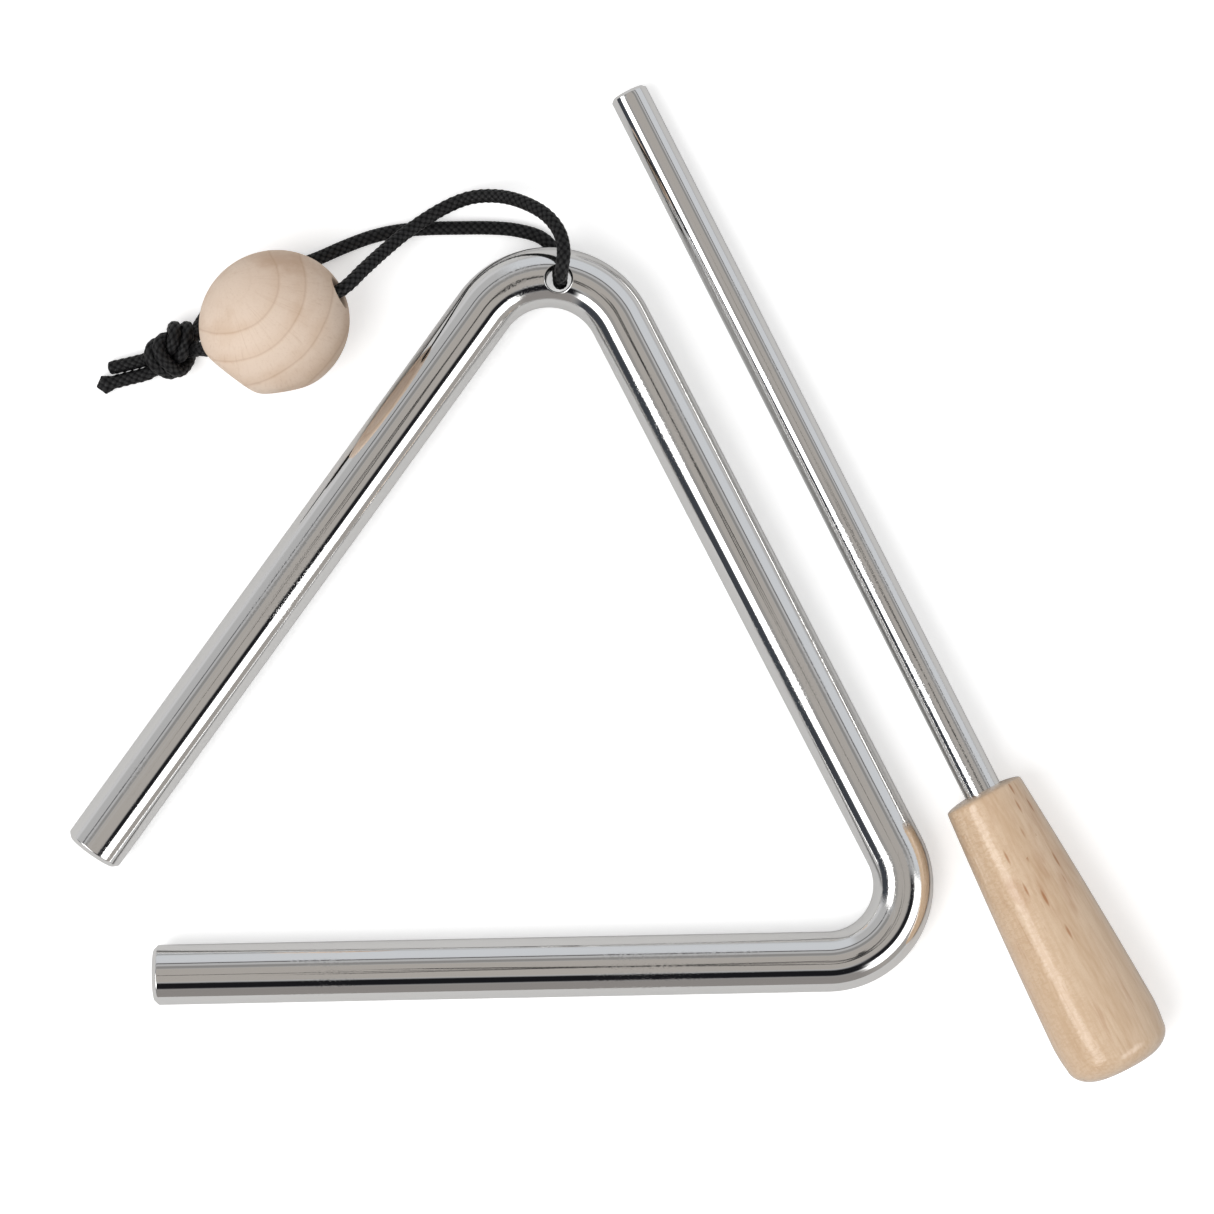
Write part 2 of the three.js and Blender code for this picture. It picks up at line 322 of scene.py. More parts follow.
def strip_faces(index: np.ndarray, flip: bool = False) -> list[Face]:
    """List the quads between rings of vertices that each close on themselves.

    Args:
        index: The vertices' indices, one row for each ring.
        flip: Whether the quads run the other way round.

    Returns:
        The quads, facing out where the rings run counterclockwise seen from the last one.
    """
    after = np.roll(index, -1, axis=1)
    quads = np.stack([index[:-1], after[:-1], after[1:], index[1:]], -1).reshape(-1, 4)
    return (quads[:, ::-1] if flip else quads).tolist()


def fan_faces(ring: np.ndarray, hub: int, forward: bool) -> list[Face]:
    """List the triangles from a ring of vertices to a hub.

    Args:
        ring: Indices of the ring's vertices.
        hub: Index of the hub.
        forward: Whether the triangles keep the ring's order.

    Returns:
        The triangles.
    """
    after = np.roll(ring, -1)
    pair = (ring, after) if forward else (after, ring)
    return np.stack([*pair, np.full(len(ring), hub)], -1).tolist()


def closed_tube(grid: np.ndarray, lie: Optional[np.ndarray] = None) -> Shell:
    """Close a grid of rings with a hub at each end.

    Args:
        grid: Rings of vertices, shaped rings by sides by 3.
        lie: What each vertex carries for its material, shaped rings by sides by 2 or 3.

    Returns:
        The closed surface.
    """
    index = grid_indices(grid)
    faces = strip_faces(index)
    faces += fan_faces(index[0], index.size, False) + fan_faces(index[-1], index.size + 1, True)
    vertices = np.vstack([grid.reshape(-1, 3), grid[0].mean(0), grid[-1].mean(0)])
    if lie is not None:
        lie = np.vstack([lie.reshape(index.size, -1), lie[0].mean(0), lie[-1].mean(0)])
    return Shell(vertices, faces, lie=lie)


def turned(profile: np.ndarray, sides: int) -> np.ndarray:
    """Turn a profile about the local X axis.

    Each vertex lies at the profile's station along X and at its radius times the cosine and sine of the turn
    along Y and Z.

    Args:
        profile: Rows of radius and station.
        sides: Vertices round each ring.

    Returns:
        A grid shaped rings by sides by 3.
    """
    turn = 2 * np.pi * np.arange(sides) / sides
    radius, station = profile[:, :1], profile[:, 1:2]
    return np.stack(np.broadcast_arrays(station, radius * np.cos(turn), radius * np.sin(turn)), -1)


# Materials


class NodeGraph:
    """A small builder for the nodes of a material or of the world."""

    def __init__(self, owner: Union[bpy.types.Material, bpy.types.World]) -> None:
        """Start with no nodes.

        Args:
            owner: The material or the world that the nodes belong to.
        """
        owner.use_nodes = True
        self.owner = owner
        self.tree = owner.node_tree
        self.tree.nodes.clear()

    @classmethod
    def of_material(cls, name: str) -> "NodeGraph":
        """Start a new material under a name."""
        return cls(bpy.data.materials.new(name))

    def add(
        self, kind: str, inputs: Optional[dict[Union[int, str], Value]] = None, **settings: Union[str, bool]
    ) -> bpy.types.Node:
        """Add one node.

        Args:
            kind: The node's type without its ShaderNode prefix.
            inputs: Values or sockets by the input's name or index.
            settings: Attributes of the node itself.

        Returns:
            The new node.
        """
        node = self.tree.nodes.new("ShaderNode" + kind)
        for name, value in settings.items():
            setattr(node, name, value)
        for key, value in (inputs or {}).items():
            self.feed(node.inputs[key], value)
        return node

    def feed(self, socket: bpy.types.NodeSocket, value: Value) -> None:
        """Give an input a constant or a link.

        Args:
            socket: The input.
            value: A number, a colour or vector, or the output that feeds it.
        """
        if isinstance(value, bpy.types.NodeSocket):
            self.tree.links.new(value, socket)
        elif isinstance(value, (int, float)):
            socket.default_value = value
        else:
            length = len(socket.default_value)
            socket.default_value = (*value, 1.0)[:length]

    def object_place(self) -> bpy.types.NodeSocket:
        """Read the place on the piece, in metres."""
        return self.add("TexCoord").outputs["Object"]

    def math(self, operation: str, *values: Value) -> bpy.types.NodeSocket:
        """Do arithmetic on numbers.

        Args:
            operation: The Math node's operation.
            values: Its inputs in order.

        Returns:
            The result's socket.
        """
        return self.add("Math", dict(enumerate(values)), operation=operation).outputs[0]

    def vector(self, operation: str, *values: Value) -> bpy.types.NodeSocket:
        """Do arithmetic on vectors.

        Args:
            operation: The Vector Math node's operation.
            values: Its inputs in order.

        Returns:
            The result's socket, which is a number for a length, a distance or a dot product.
        """
        node = self.add("VectorMath", dict(enumerate(values)), operation=operation)
        return node.outputs["Value" if operation in ("LENGTH", "DISTANCE", "DOT_PRODUCT") else "Vector"]

    def scaled(self, vector: Value, factor: Value) -> bpy.types.NodeSocket:
        """Scale a vector by a number."""
        return self.add("VectorMath", {0: vector, "Scale": factor}, operation="SCALE").outputs[0]

    def noise(
        self, place: Value, scale: float, detail: float = 3.0, roughness: float = 0.5
    ) -> bpy.types.NodeSocket:
        """Sample smooth noise.

        Args:
            place: Where it is sampled.
            scale: Features per unit of place.
            detail: Octaves.
            roughness: Weight of the finer octaves.

        Returns:
            The noise, about 0.5 on average.
        """
        inputs = {"Vector": place, "Scale": scale, "Detail": detail, "Roughness": roughness}
        return self.add("TexNoise", inputs).outputs["Fac"]

    def ramp(self, value: Value, stops: Sequence[tuple[float, Colour]]) -> bpy.types.NodeSocket:
        """Map a number to a colour.

        Args:
            value: The number.
            stops: Positions and linear colours, in order.

        Returns:
            The colour's socket.
        """
        node = self.add("ValToRGB", {"Fac": value})
        elements = node.color_ramp.elements
        while len(elements) < len(stops):
            elements.new(0.5)
        for element, (position, colour) in zip(elements, stops):
            element.position = position
            element.color = (*colour, 1.0)
        return node.outputs["Color"]

    def smooth_step(self, value: Value, low: float, high: float) -> bpy.types.NodeSocket:
        """Rise smoothly from 0 to 1 between two numbers.

        Args:
            value: The number that is compared.
            low: Where the rise starts.
            high: Where it ends.

        Returns:
            The step's socket.
        """
        inputs = {"Value": value, "From Min": low, "From Max": high}
        return self.add("MapRange", inputs, interpolation_type="SMOOTHSTEP").outputs["Result"]

    def mix(self, factor: Value, first: Value, second: Value) -> bpy.types.NodeSocket:
        """Mix two colours.

        Args:
            factor: Share of the second.
            first: The first colour.
            second: The second colour.

        Returns:
            The mixed colour's socket.
        """
        node = self.add("Mix", data_type="RGBA", blend_type="MIX")
        for index, value in ((0, factor), (6, first), (7, second)):
            self.feed(node.inputs[index], value)
        return node.outputs[2]

    def tinted(self, colour: Value, tint: Value, where: Value, share: float) -> bpy.types.NodeSocket:
        """Lay a second colour over a first one in places.

        Args:
            colour: The first colour.
            tint: The second colour.
            where: Where it lies, from 0 to 1.
            share: How much of it shows where it lies fully.

        Returns:
            The tinted colour's socket.
        """
        return self.mix(self.math("MULTIPLY", where, share), colour, tint)

    def bump(self, height: Value, distance: float) -> bpy.types.NodeSocket:
        """Turn a height into a bent normal.

        Args:
            height: The height, in units of distance.
            distance: Metres for a height of one.

        Returns:
            The normal's socket.
        """
        return self.add("Bump", {"Height": height, "Distance": distance, "Strength": 1.0}).outputs["Normal"]

    def by_ray(
        self, ray: str, others: bpy.types.NodeSocket, chosen: bpy.types.NodeSocket
    ) -> bpy.types.NodeSocket:
        """Choose between two shaders by the kind of ray.

        Args:
            ray: The Light Path output that picks the second shader.
            others: The shader for all other rays.
            chosen: The shader for that kind of ray.

        Returns:
            The chosen shader's socket.
        """
        picked = self.add("LightPath").outputs[ray]
        return self.add("MixShader", {0: picked, 1: others, 2: chosen}).outputs[0]

    def finished(self, shader: bpy.types.NodeSocket) -> Union[bpy.types.Material, bpy.types.World]:
        """End the nodes in one shader.

        Args:
            shader: The shader's output.

        Returns:
            The finished material or world.
        """
        kind = "OutputWorld" if isinstance(self.owner, bpy.types.World) else "OutputMaterial"
        self.add(kind, {"Surface": shader})
        return self.owner

    def surface(self, **inputs: Value) -> bpy.types.Material:
        """End the material in one principled surface.

        Args:
            inputs: The surface's inputs, with underscores for spaces.

        Returns:
            The finished material.
        """
        named = {name.replace("_", " "): value for name, value in inputs.items()}
        return self.finished(self.add("BsdfPrincipled", named).outputs[0])


@dataclass(frozen=True)
class Chrome:
    """Bright chrome plating with a faint orange peel, a little haze and patches of fine pits."""

    tint: Colour = (0.9, 0.895, 0.885)
    roughness: float = 0.03
    haze: float = 0.06
    haze_scale: float = 90.0
    peel_scale: float = 420.0
    peel_height: float = 0.000004
    pit_scale: float = 5200.0
    pit_height: float = 0.0000045
    patch_scale: float = 60.0

    def material(self, name: str) -> bpy.types.Material:
        """Build the plating's material.

        Args:
            name: The material's name.

        Returns:
            The material.
        """
        graph = NodeGraph.of_material(name)
        place = graph.object_place()
        peel = graph.noise(place, self.peel_scale, 2.0)
        pits = graph.smooth_step(graph.noise(place, self.pit_scale, 2.0, 0.6), 0.5, 0.75)
        patches = graph.smooth_step(graph.noise(place, self.patch_scale, 3.0, 0.6), 0.5, 0.68)
        pits = graph.math("MULTIPLY", pits, patches)
        heights = graph.math("MULTIPLY_ADD", pits, self.pit_height / self.peel_height, peel)
        haze = graph.noise(place, self.haze_scale, 4.0)
        return graph.surface(
            Base_Color=self.tint, Metallic=1.0,
            Roughness=graph.math("MULTIPLY_ADD", haze, self.haze, self.roughness),
            Normal=graph.bump(heights, self.peel_height),
        )


@dataclass(frozen=True)
class WaxedBraid:
    """Black waxed braid. The mesh carries how high each point of the braid stands. Its low gaps get painted
    shade.
    """

    crown: Colour = (0.0042, 0.0042, 0.0046)
    # gap: colour of the low gaps, darker than the crowns as painted shade between the strands
    gap: Colour = (0.001, 0.001, 0.001)
    fibre: Colour = (0.018, 0.018, 0.019)
    fibre_share: float = 0.35
    fibre_scale: float = 9000.0
    fibre_height: float = 0.00004
    roughness: float = 0.27
    fibre_roughness: float = 0.25
    shine: float = 0.08
    crown_shine: float = 0.36

    def material(self, name: str) -> bpy.types.Material:
        """Build the braid's material.

        Args:
            name: The material's name.

        Returns:
            The material.
        """
        graph = NodeGraph.of_material(name)
        lie = graph.add("Attribute", attribute_name=LIE).outputs["Vector"]
        height = graph.add("SeparateXYZ", {0: lie}).outputs["Z"]
        fibre = graph.noise(graph.object_place(), self.fibre_scale, 3.0, 0.6)
        # painted shade: by the braid's height, the colour darkens from the crowns down into the gaps
        colour = graph.mix(graph.smooth_step(height, 0.15, 0.8), self.gap, self.crown)
        crowns = graph.smooth_step(height, 0.55, 0.95)
        return graph.surface(
            Base_Color=graph.tinted(colour, self.fibre, fibre, self.fibre_share),
            Roughness=graph.math("MULTIPLY_ADD", fibre, self.fibre_roughness, self.roughness),
            Specular_IOR_Level=graph.math("MULTIPLY_ADD", crowns, self.crown_shine, self.shine),
            Normal=graph.bump(fibre, self.fibre_height),
        )


@dataclass(frozen=True)
class BareWood:
    """Pale unvarnished wood with growth rings, rays and one browner patch, as on a small turned bead."""

    centre: Place
    pith: Place = (-0.0073, 0.0062, 0.0)
    pith_axis: Place = (0.14, -0.10, 1.0)
    sway: float = 0.0011
    sway_scale: float = 95.0
    ring_gap: float = 0.0036
    ring_start: float = 0.73
    ring_seen_from: float = 0.0052
    ring_fade: float = 0.003
    ring_share: float = 0.36
    least_ring_share: float = 0.08
    patch: Place = (0.0022, 0.0062, 0.0066)
    patch_reach: float = 0.0078
    cloud_scale: float = 150.0
    ray_scale: float = 42.0
    ray_squeeze: Place = (90.0, 90.0, 700.0)
    ray_share: float = 0.26
    fibre_scale: float = 3000.0
    fibre_stretch: float = 5.0
    fibre_share: float = 0.16
    fibre_height: float = 0.00002
    pale: Colour = (0.735, 0.590, 0.475)
    warm: Colour = (0.640, 0.475, 0.350)
    dark: Colour = (0.470, 0.300, 0.195)

    def material(self, name: str) -> bpy.types.Material:
        """Build the wood's material.

        Args:
            name: The material's name.

        Returns:
            The material.
        """
        graph = NodeGraph.of_material(name)
        pale, warm, dark = self.pale, self.warm, self.dark
        place = graph.vector("SUBTRACT", graph.object_place(), self.centre)
        distance, outward = ring_distance(graph, place, self.pith, self.pith_axis, self.sway, self.sway_scale)
        count = graph.math("MULTIPLY_ADD", distance, 1.0 / self.ring_gap, self.ring_start)
        stops = ((0.0, pale), (0.45, pale), (0.86, warm), (0.915, dark), (0.95, warm), (1.0, pale))
        bands = graph.ramp(graph.math("FRACT", count), stops)
        cloud = graph.smooth_step(graph.noise(place, self.cloud_scale, 4.0, 0.6), 0.4, 0.68)
        seen = graph.smooth_step(distance, self.ring_seen_from, self.ring_seen_from + self.ring_fade)
        seen = graph.math("MULTIPLY_ADD", seen, self.ring_share, self.least_ring_share)
        colour = graph.mix(seen, graph.tinted(pale, warm, cloud, 0.9), bands)
        away = graph.vector("DISTANCE", place, self.patch)
        patch = graph.smooth_step(away, self.patch_reach, 0.2 * self.patch_reach)
        browner = graph.math("MULTIPLY", patch, graph.math("MULTIPLY_ADD", cloud, 0.36, 0.2))
        colour = graph.mix(browner, colour, dark)
        raised = graph.vector("MULTIPLY", place, self.ray_squeeze)
        rays = graph.noise(graph.vector("ADD", graph.scaled(outward, self.ray_scale), raised), 1.0, 3.0, 0.65)
        colour = graph.tinted(colour, dark, graph.smooth_step(rays, 0.52, 0.78), self.ray_share)
        fibre = fibres(graph, place, self.pith_axis, self.fibre_scale, self.fibre_stretch)
        colour = graph.tinted(colour, dark, graph.smooth_step(fibre, 0.5, 0.8), self.fibre_share)
        return graph.surface(
            Base_Color=colour, Roughness=graph.math("MULTIPLY_ADD", fibre, 0.2, 0.5), Specular_IOR_Level=0.3,
            Normal=graph.bump(fibre, self.fibre_height),
        )


@dataclass(frozen=True)
class VarnishedWood:
    """Light tan wood under a clear varnish, with fine grain and a curly figure.

    Its short brown streaks lie mostly in groups, each given by a place in the part's frame and its reach.
    """

    start: Place
    axis: Place
    pith: Place = (0.012, 0.03, -0.02)
    sway: float = 0.0016
    sway_scale: float = 45.0
    ring_gap: float = 0.0046
    pale: Colour = (0.720, 0.540, 0.375)
    warm: Colour = (0.600, 0.410, 0.255)
    streak: Colour = (0.360, 0.135, 0.035)
    grain_scale: float = 2200.0
    grain_stretch: float = 9.0
    fine_scale: float = 5200.0
    fine_share: float = 0.22
    curly_side: Place = (-0.886, -0.463, 0.0)
    ripple_scale: float = 1300.0
    ripple_stretch: float = 0.5
    curl_share: float = 0.8
    curl_height: float = 0.00002
    vein_scale: float = 900.0
    vein_stretch: float = 14.0
    vein_share: float = 0.26
    streak_groups: tuple[tuple[Place, float], ...] = (
        ((0.0534, -0.0303, 0.0125), 0.0065),
        ((0.0578, -0.0390, 0.0125), 0.0065),
        ((0.0526, -0.0413, 0.0125), 0.0030),
    )
    streak_scale: float = 1250.0
    streak_stretch: float = 6.5
    streak_share: float = 0.8
    stain_scale: float = 700.0
    stain_stretch: float = 4.0
    stain_share: float = 0.3
    coat_scale: float = 130.0
    coat_height: float = 0.00016

    def material(self, name: str) -> bpy.types.Material:
        """Build the wood's material.

        Args:
            name: The material's name.

        Returns:
            The material.
        """
        graph = NodeGraph.of_material(name)
        pale, warm = self.pale, self.warm
        whole = graph.object_place()
        place = graph.vector("SUBTRACT", whole, self.start)
        distance, _ = ring_distance(graph, place, self.pith, self.axis, self.sway, self.sway_scale)
        phase = graph.math("FRACT", graph.math("MULTIPLY", distance, 1.0 / self.ring_gap))
        bands = graph.ramp(phase, ((0.0, pale), (0.6, warm), (0.75, warm), (1.0, pale)))
        grain = fibres(graph, place, self.axis, self.grain_scale, self.grain_stretch)
        colour = graph.mix(0.4, graph.mix(graph.smooth_step(grain, 0.3, 0.75), pale, warm), bands)
        fine = graph.smooth_step(graph.noise(place, self.fine_scale, 2.0, 0.6), 0.4, 0.7)
        colour = graph.tinted(colour, warm, fine, self.fine_share)
        side = graph.smooth_step(graph.vector("DOT_PRODUCT", place, self.curly_side), -0.001, 0.004)
        drawn = squeezed(graph, place, self.axis, self.ripple_stretch)
        ripple = graph.noise(drawn, self.ripple_scale, 3.0, 0.6)
        curl = graph.math("MULTIPLY", graph.smooth_step(ripple, 0.46, 0.6), side)
        colour = graph.tinted(colour, warm, curl, self.curl_share)
        vein = fibres(graph, place, self.axis, self.vein_scale, self.vein_stretch)
        colour = graph.tinted(colour, self.streak, graph.smooth_step(vein, 0.6, 0.72), self.vein_share)
        colour = graph.tinted(colour, self.streak, self._streaks(graph, whole, place), self.streak_share)
        uneven = graph.math("MULTIPLY_ADD", ripple, 0.25, graph.noise(place, self.coat_scale, 2.0))
        return graph.surface(
            Base_Color=colour, Roughness=0.42, Coat_Weight=1.0, Coat_Roughness=0.08,
            Normal=graph.bump(curl, self.curl_height), Coat_Normal=graph.bump(uneven, self.coat_height),
        )

    def _streaks(self, graph: NodeGraph, whole: Value, place: Value) -> bpy.types.NodeSocket:
        """Find where the short brown streaks lie: often inside the groups, seldom elsewhere.

        Args:
            graph: The material's builder.
            whole: The place in the part's frame.
            place: The place from the handle's start.

        Returns:
            The streaks' socket, from 0 to 1.
        """
        near: Value = 0.0
        for centre, reach in self.streak_groups:
            away = graph.vector("DISTANCE", whole, centre)
            near = graph.math("MAXIMUM", near, graph.smooth_step(away, reach, 0.5 * reach))
        drawn = squeezed(graph, place, self.axis, self.streak_stretch)
        cells = graph.add("TexVoronoi", {"Vector": drawn, "Scale": self.streak_scale})
        chance = graph.add("SeparateColor", {0: cells.outputs["Color"]}).outputs[0]
        chosen = graph.math("GREATER_THAN", graph.math("MULTIPLY_ADD", near, 0.55, chance), 0.965)
        mark = graph.math("MULTIPLY", graph.smooth_step(cells.outputs["Distance"], 0.34, 0.12), chosen)
        stain = fibres(graph, place, self.axis, self.stain_scale, self.stain_stretch)
        stain = graph.math("MULTIPLY", near, graph.smooth_step(stain, 0.42, 0.66))
        return graph.math("MAXIMUM", mark, graph.math("MULTIPLY", stain, self.stain_share))


def ring_distance(
    graph: NodeGraph, place: Value, pith: Vector3, axis: Vector3, sway: float, sway_scale: float
) -> tuple[bpy.types.NodeSocket, bpy.types.NodeSocket]:
    """Measure the distance from a tree's pith, a little disturbed.

    The distance is the length of the place's part square to the axis, plus noise times the sway.

    Args:
        graph: The material's builder.
        place: Where it is measured.
        pith: A point on the pith, in metres.
        axis: The pith's direction.
        sway: How far the rings stray, in metres.
        sway_scale: Strays per metre.

    Returns:
        The distance's socket, in metres, and the direction's, away from the pith.
    """
    direction = tuple(unit(np.asarray(axis)))
    offset = graph.vector("SUBTRACT", place, pith)
    along = graph.vector("DOT_PRODUCT", offset, direction)
    across = graph.vector("SUBTRACT", offset, graph.scaled(direction, along))
    distance = graph.vector("LENGTH", across)
    stray = graph.noise(place, sway_scale, 2.0)
    return graph.math("MULTIPLY_ADD", stray, sway, distance), graph.vector("NORMALIZE", across)


def squeezed(graph: NodeGraph, place: Value, axis: Vector3, stretch: float) -> bpy.types.NodeSocket:
    """Press space together along an axis, so that what is sampled there comes out drawn along it.

    Args:
        graph: The material's builder.
        place: Where it is sampled.
        axis: The direction.
        stretch: How many times longer than wide a feature comes out.

    Returns:
        The pressed place's socket.
    """
    direction = tuple(unit(np.asarray(axis)))
    along = graph.vector("DOT_PRODUCT", place, direction)
    pressed = graph.scaled(direction, graph.math("MULTIPLY", along, 1.0 - 1.0 / stretch))
    return graph.vector("SUBTRACT", place, pressed)


def fibres(
    graph: NodeGraph, place: Value, axis: Vector3, scale: float, stretch: float
) -> bpy.types.NodeSocket:
    """Sample noise drawn out along a wood's grain.

    Args:
        graph: The material's builder.
        place: Where it is sampled.
        axis: The grain's direction.
        scale: Fibres per metre across the grain.
        stretch: How many times longer a fibre is than wide.

    Returns:
        The noise's socket.
    """
    return graph.noise(squeezed(graph, place, axis, stretch), scale, 3.0, 0.55)


# Studio


@dataclass(frozen=True)
class Source:
    """A patch of the surroundings that the chrome mirrors.

    The heading is counterclockwise from the image's right, the lean is counted from straight up.
    """

    heading: float
    half_width: float
    lean_from: float
    lean_to: float
    light: Colour
    edge: float

    def share(self, heading: np.ndarray, lean: np.ndarray, heading_edge: float) -> np.ndarray:
        """Work out how far the source takes over at each direction.

        The share is the product of one ramp across each border of the source, eased in and out.

        Args:
            heading: The directions' headings.
            lean: Their leans.
            heading_edge: Width of the ramps in heading. Those in lean have the source's own width.

        Returns:
            The share at each direction, from 0 to 1.
        """
        away = np.abs((heading - self.heading + 180) % 360 - 180)
        share = np.clip((self.half_width - away) / heading_edge + 0.5, 0, 1)
        if self.lean_from > 0:
            share = share * np.clip((lean - self.lean_from) / self.edge + 0.5, 0, 1)
        return eased(share * np.clip((self.lean_to - lean) / self.edge + 0.5, 0, 1))


@dataclass
class Studio:
    """A pale floor, soft light, the camera and the surroundings that the chrome mirrors."""

    camera_place: Place = (-1.205, -3.406, 580.0)
    camera_clip: tuple[float, float] = (10.0, 20000.0)
    lens: float = 128.1
    sensor: float = 36.0
    ambient: float = 0.62
    key_place: Place = (-450.0, -350.0, 1000.0)
    key_size: float = 700.0
    key_power: float = 6.5
    floor_side: float = 6000.0
    floor_drop: float = 0.03
    floor_colour: Colour = (0.86, 0.86, 0.86)
    floor_lift: float = 0.40
    floor_mirrored: Colour = (0.58, 0.575, 0.57)
    tent_radius: float = 1800.0
    tent_lean: float = 100.0
    lean_step: float = 0.5
    heading_step: float = 2.0
    heading_edge: float = 14.0
    seam_headings: tuple[float, ...] = (1.1, 117.0, 54.0)
    seam_height: float = 1780.0
    seam_half_width: float = 22.0
    seam_reach: float = 420.0
    seam_glow: float = 0.03
    base: Colour = (0.47, 0.47, 0.475)
    sources: tuple[Source, ...] = (
        Source(0, 180, 0, 26, (0.42, 0.395, 0.37), 3.0),
        Source(86, 84, 27, 37, (0.27, 0.265, 0.26), 4.0),
        Source(144, 30, 76, 98, (0.60, 0.60, 0.61), 8.0),
        Source(58, 58, 50, 84, (0.62, 0.64, 0.67), 7.0),
        Source(92, 88, 45.5, 48.5, (0.04, 0.04, 0.045), 2.0),
        Source(27, 26, 93, 104, (0.17, 0.17, 0.17), 4.0),
        Source(-36, 30, 26, 42, (0.012, 0.012, 0.014), 7.0),
        Source(-36, 30, 43, 67, (3.0, 3.0, 3.0), 2.5),
        Source(-36, 34, 69, 110, (0.37, 0.35, 0.33), 3.0),
        Source(-90, 28, 54, 98, (0.27, 0.255, 0.245), 12.0),
        Source(-90, 30, 30, 54, (0.010, 0.010, 0.012), 7.0),
        Source(-153, 28, 24, 38, (0.33, 0.32, 0.31), 3.0),
        Source(-153, 32, 38, 60, (3.6, 3.6, 3.6), 2.5),
        Source(-153, 34, 62, 92, (0.05, 0.055, 0.065), 9.0),
    )

    def build(self) -> list[bpy.types.Object]:
        """Make the camera, the world, the floor, the tent with its seams, and the key light.

        Returns:
            The floor, the tent and the seams.
        """
        self._camera()
        self._world()
        stage = [self._floor(), self._tent(), self._seams()]
        self._key()
        return stage

    def _camera(self) -> None:
        """Put the camera straight over the table."""
        data = bpy.data.cameras.new("camera")
        data.lens = self.lens
        data.sensor_width = self.sensor
        data.sensor_fit = "HORIZONTAL"
        data.clip_start, data.clip_end = (distance * MM for distance in self.camera_clip)
        camera = bpy.data.objects.new("camera", data)
        camera.location = [c * MM for c in self.camera_place]
        bpy.context.scene.collection.objects.link(camera)
        bpy.context.scene.camera = camera

    def _world(self) -> None:
        """Light the scene evenly from all round, and show the camera white."""
        world = bpy.data.worlds.new("surroundings")
        graph = NodeGraph(world)
        lit, seen = (
            graph.add("Background", {"Color": WHITE, "Strength": strength}).outputs[0]
            for strength in (self.ambient, 1.0)
        )
        graph.finished(graph.by_ray("Is Camera Ray", lit, seen))
        bpy.context.scene.world = world
        bpy.context.scene.view_settings.view_transform = "Standard"

    def _floor(self) -> bpy.types.Object:
        """Lay the pale floor, which is lifted towards white for the camera and darker in mirrors.

        Returns:
            The floor.
        """
        corners = np.array([[-1, -1, 0], [1, -1, 0], [1, 1, 0], [-1, 1, 0]]) * self.floor_side / 2
        graph = NodeGraph.of_material("pale_floor")
        plain = graph.add("BsdfDiffuse", {"Color": self.floor_colour}).outputs[0]
        glow = graph.add("Emission", {"Color": WHITE, "Strength": self.floor_lift}).outputs[0]
        lifted = graph.add("AddShader", {0: plain, 1: glow}).outputs[0]
        mirrored = graph.add("BsdfDiffuse", {"Color": self.floor_mirrored}).outputs[0]
        seen = graph.by_ray("Is Camera Ray", plain, lifted)
        finish = graph.finished(graph.by_ray("Is Glossy Ray", seen, mirrored))
        floor = Shell(corners - [0, 0, self.floor_drop], [(0, 1, 2, 3)]).to_object("floor", finish)
        return floor

    def _tent(self) -> bpy.types.Object:
        """Make the tent that only mirrors show.

        Its light at each direction starts from the base, and every source in turn takes over inside its own
        range of heading and lean, with soft edges. The vertices carry it as their lie.

        Returns:
            The tent.
        """
        leans = np.radians(np.arange(0.0, self.tent_lean, self.lean_step))
        headings = np.radians(np.arange(0.0, 360.0, self.heading_step))
        lean, heading = np.meshgrid(leans, headings, indexing="ij")
        level = np.sin(lean)
        grid = np.stack([level * np.cos(heading), level * np.sin(heading), np.cos(lean)], -1)
        grid = grid * self.tent_radius
        light = np.broadcast_to(np.array(self.base), grid.shape)
        for source in self.sources:
            share = source.share(np.degrees(heading), np.degrees(lean), self.heading_edge)[..., None]
            light = light * (1 - share) + np.array(source.light) * share
        shell = Shell(grid.reshape(-1, 3), strip_faces(grid_indices(grid)), lie=light.reshape(-1, 3))
        return self._mirrored_only("tent", shell, 1.0)

    def _seams(self) -> bpy.types.Object:
        """Make the thin dark seams overhead, which the crowns of the chrome mirror as dark lines.

        Each is a flat strip through the top of the tent, along one leg of the triangle.

        Returns:
            The seams.
        """
        corners = []
        for heading in np.radians(self.seam_headings):
            along = self.seam_reach * np.array([math.cos(heading), math.sin(heading), 0.0])
            aside = self.seam_half_width * np.array([-math.sin(heading), math.cos(heading), 0.0])
            corners += [aside - along, -aside - along, along - aside, along + aside]
        places = np.array(corners) + [0.0, 0.0, self.seam_height]
        quads = np.arange(len(corners)).reshape(-1, 4).tolist()
        return self._mirrored_only("seams", Shell(places, quads), self.seam_glow)

    @staticmethod
    def _mirrored_only(name: str, shell: Shell, strength: float) -> bpy.types.Object:
        """Make a glowing part of the stage that is shown to mirror rays alone.

        Args:
            name: The object's name.
            shell: Its surface. What it carries is its colour, and it is white if it carries none.
            strength: Strength of its glow.

        Returns:
            The object.
        """
        graph = NodeGraph.of_material(f"{name}_light")
        carried = shell.lie is not None
        colour = graph.add("Attribute", attribute_name=LIE).outputs["Vector"] if carried else WHITE
        glow = graph.add("Emission", {"Color": colour, "Strength": strength}).outputs[0]
        stage = shell.to_object(name, graph.finished(glow))
        for kind in ("camera", "diffuse", "shadow", "transmission", "volume_scatter"):
            setattr(stage, f"visible_{kind}", False)
        return stage

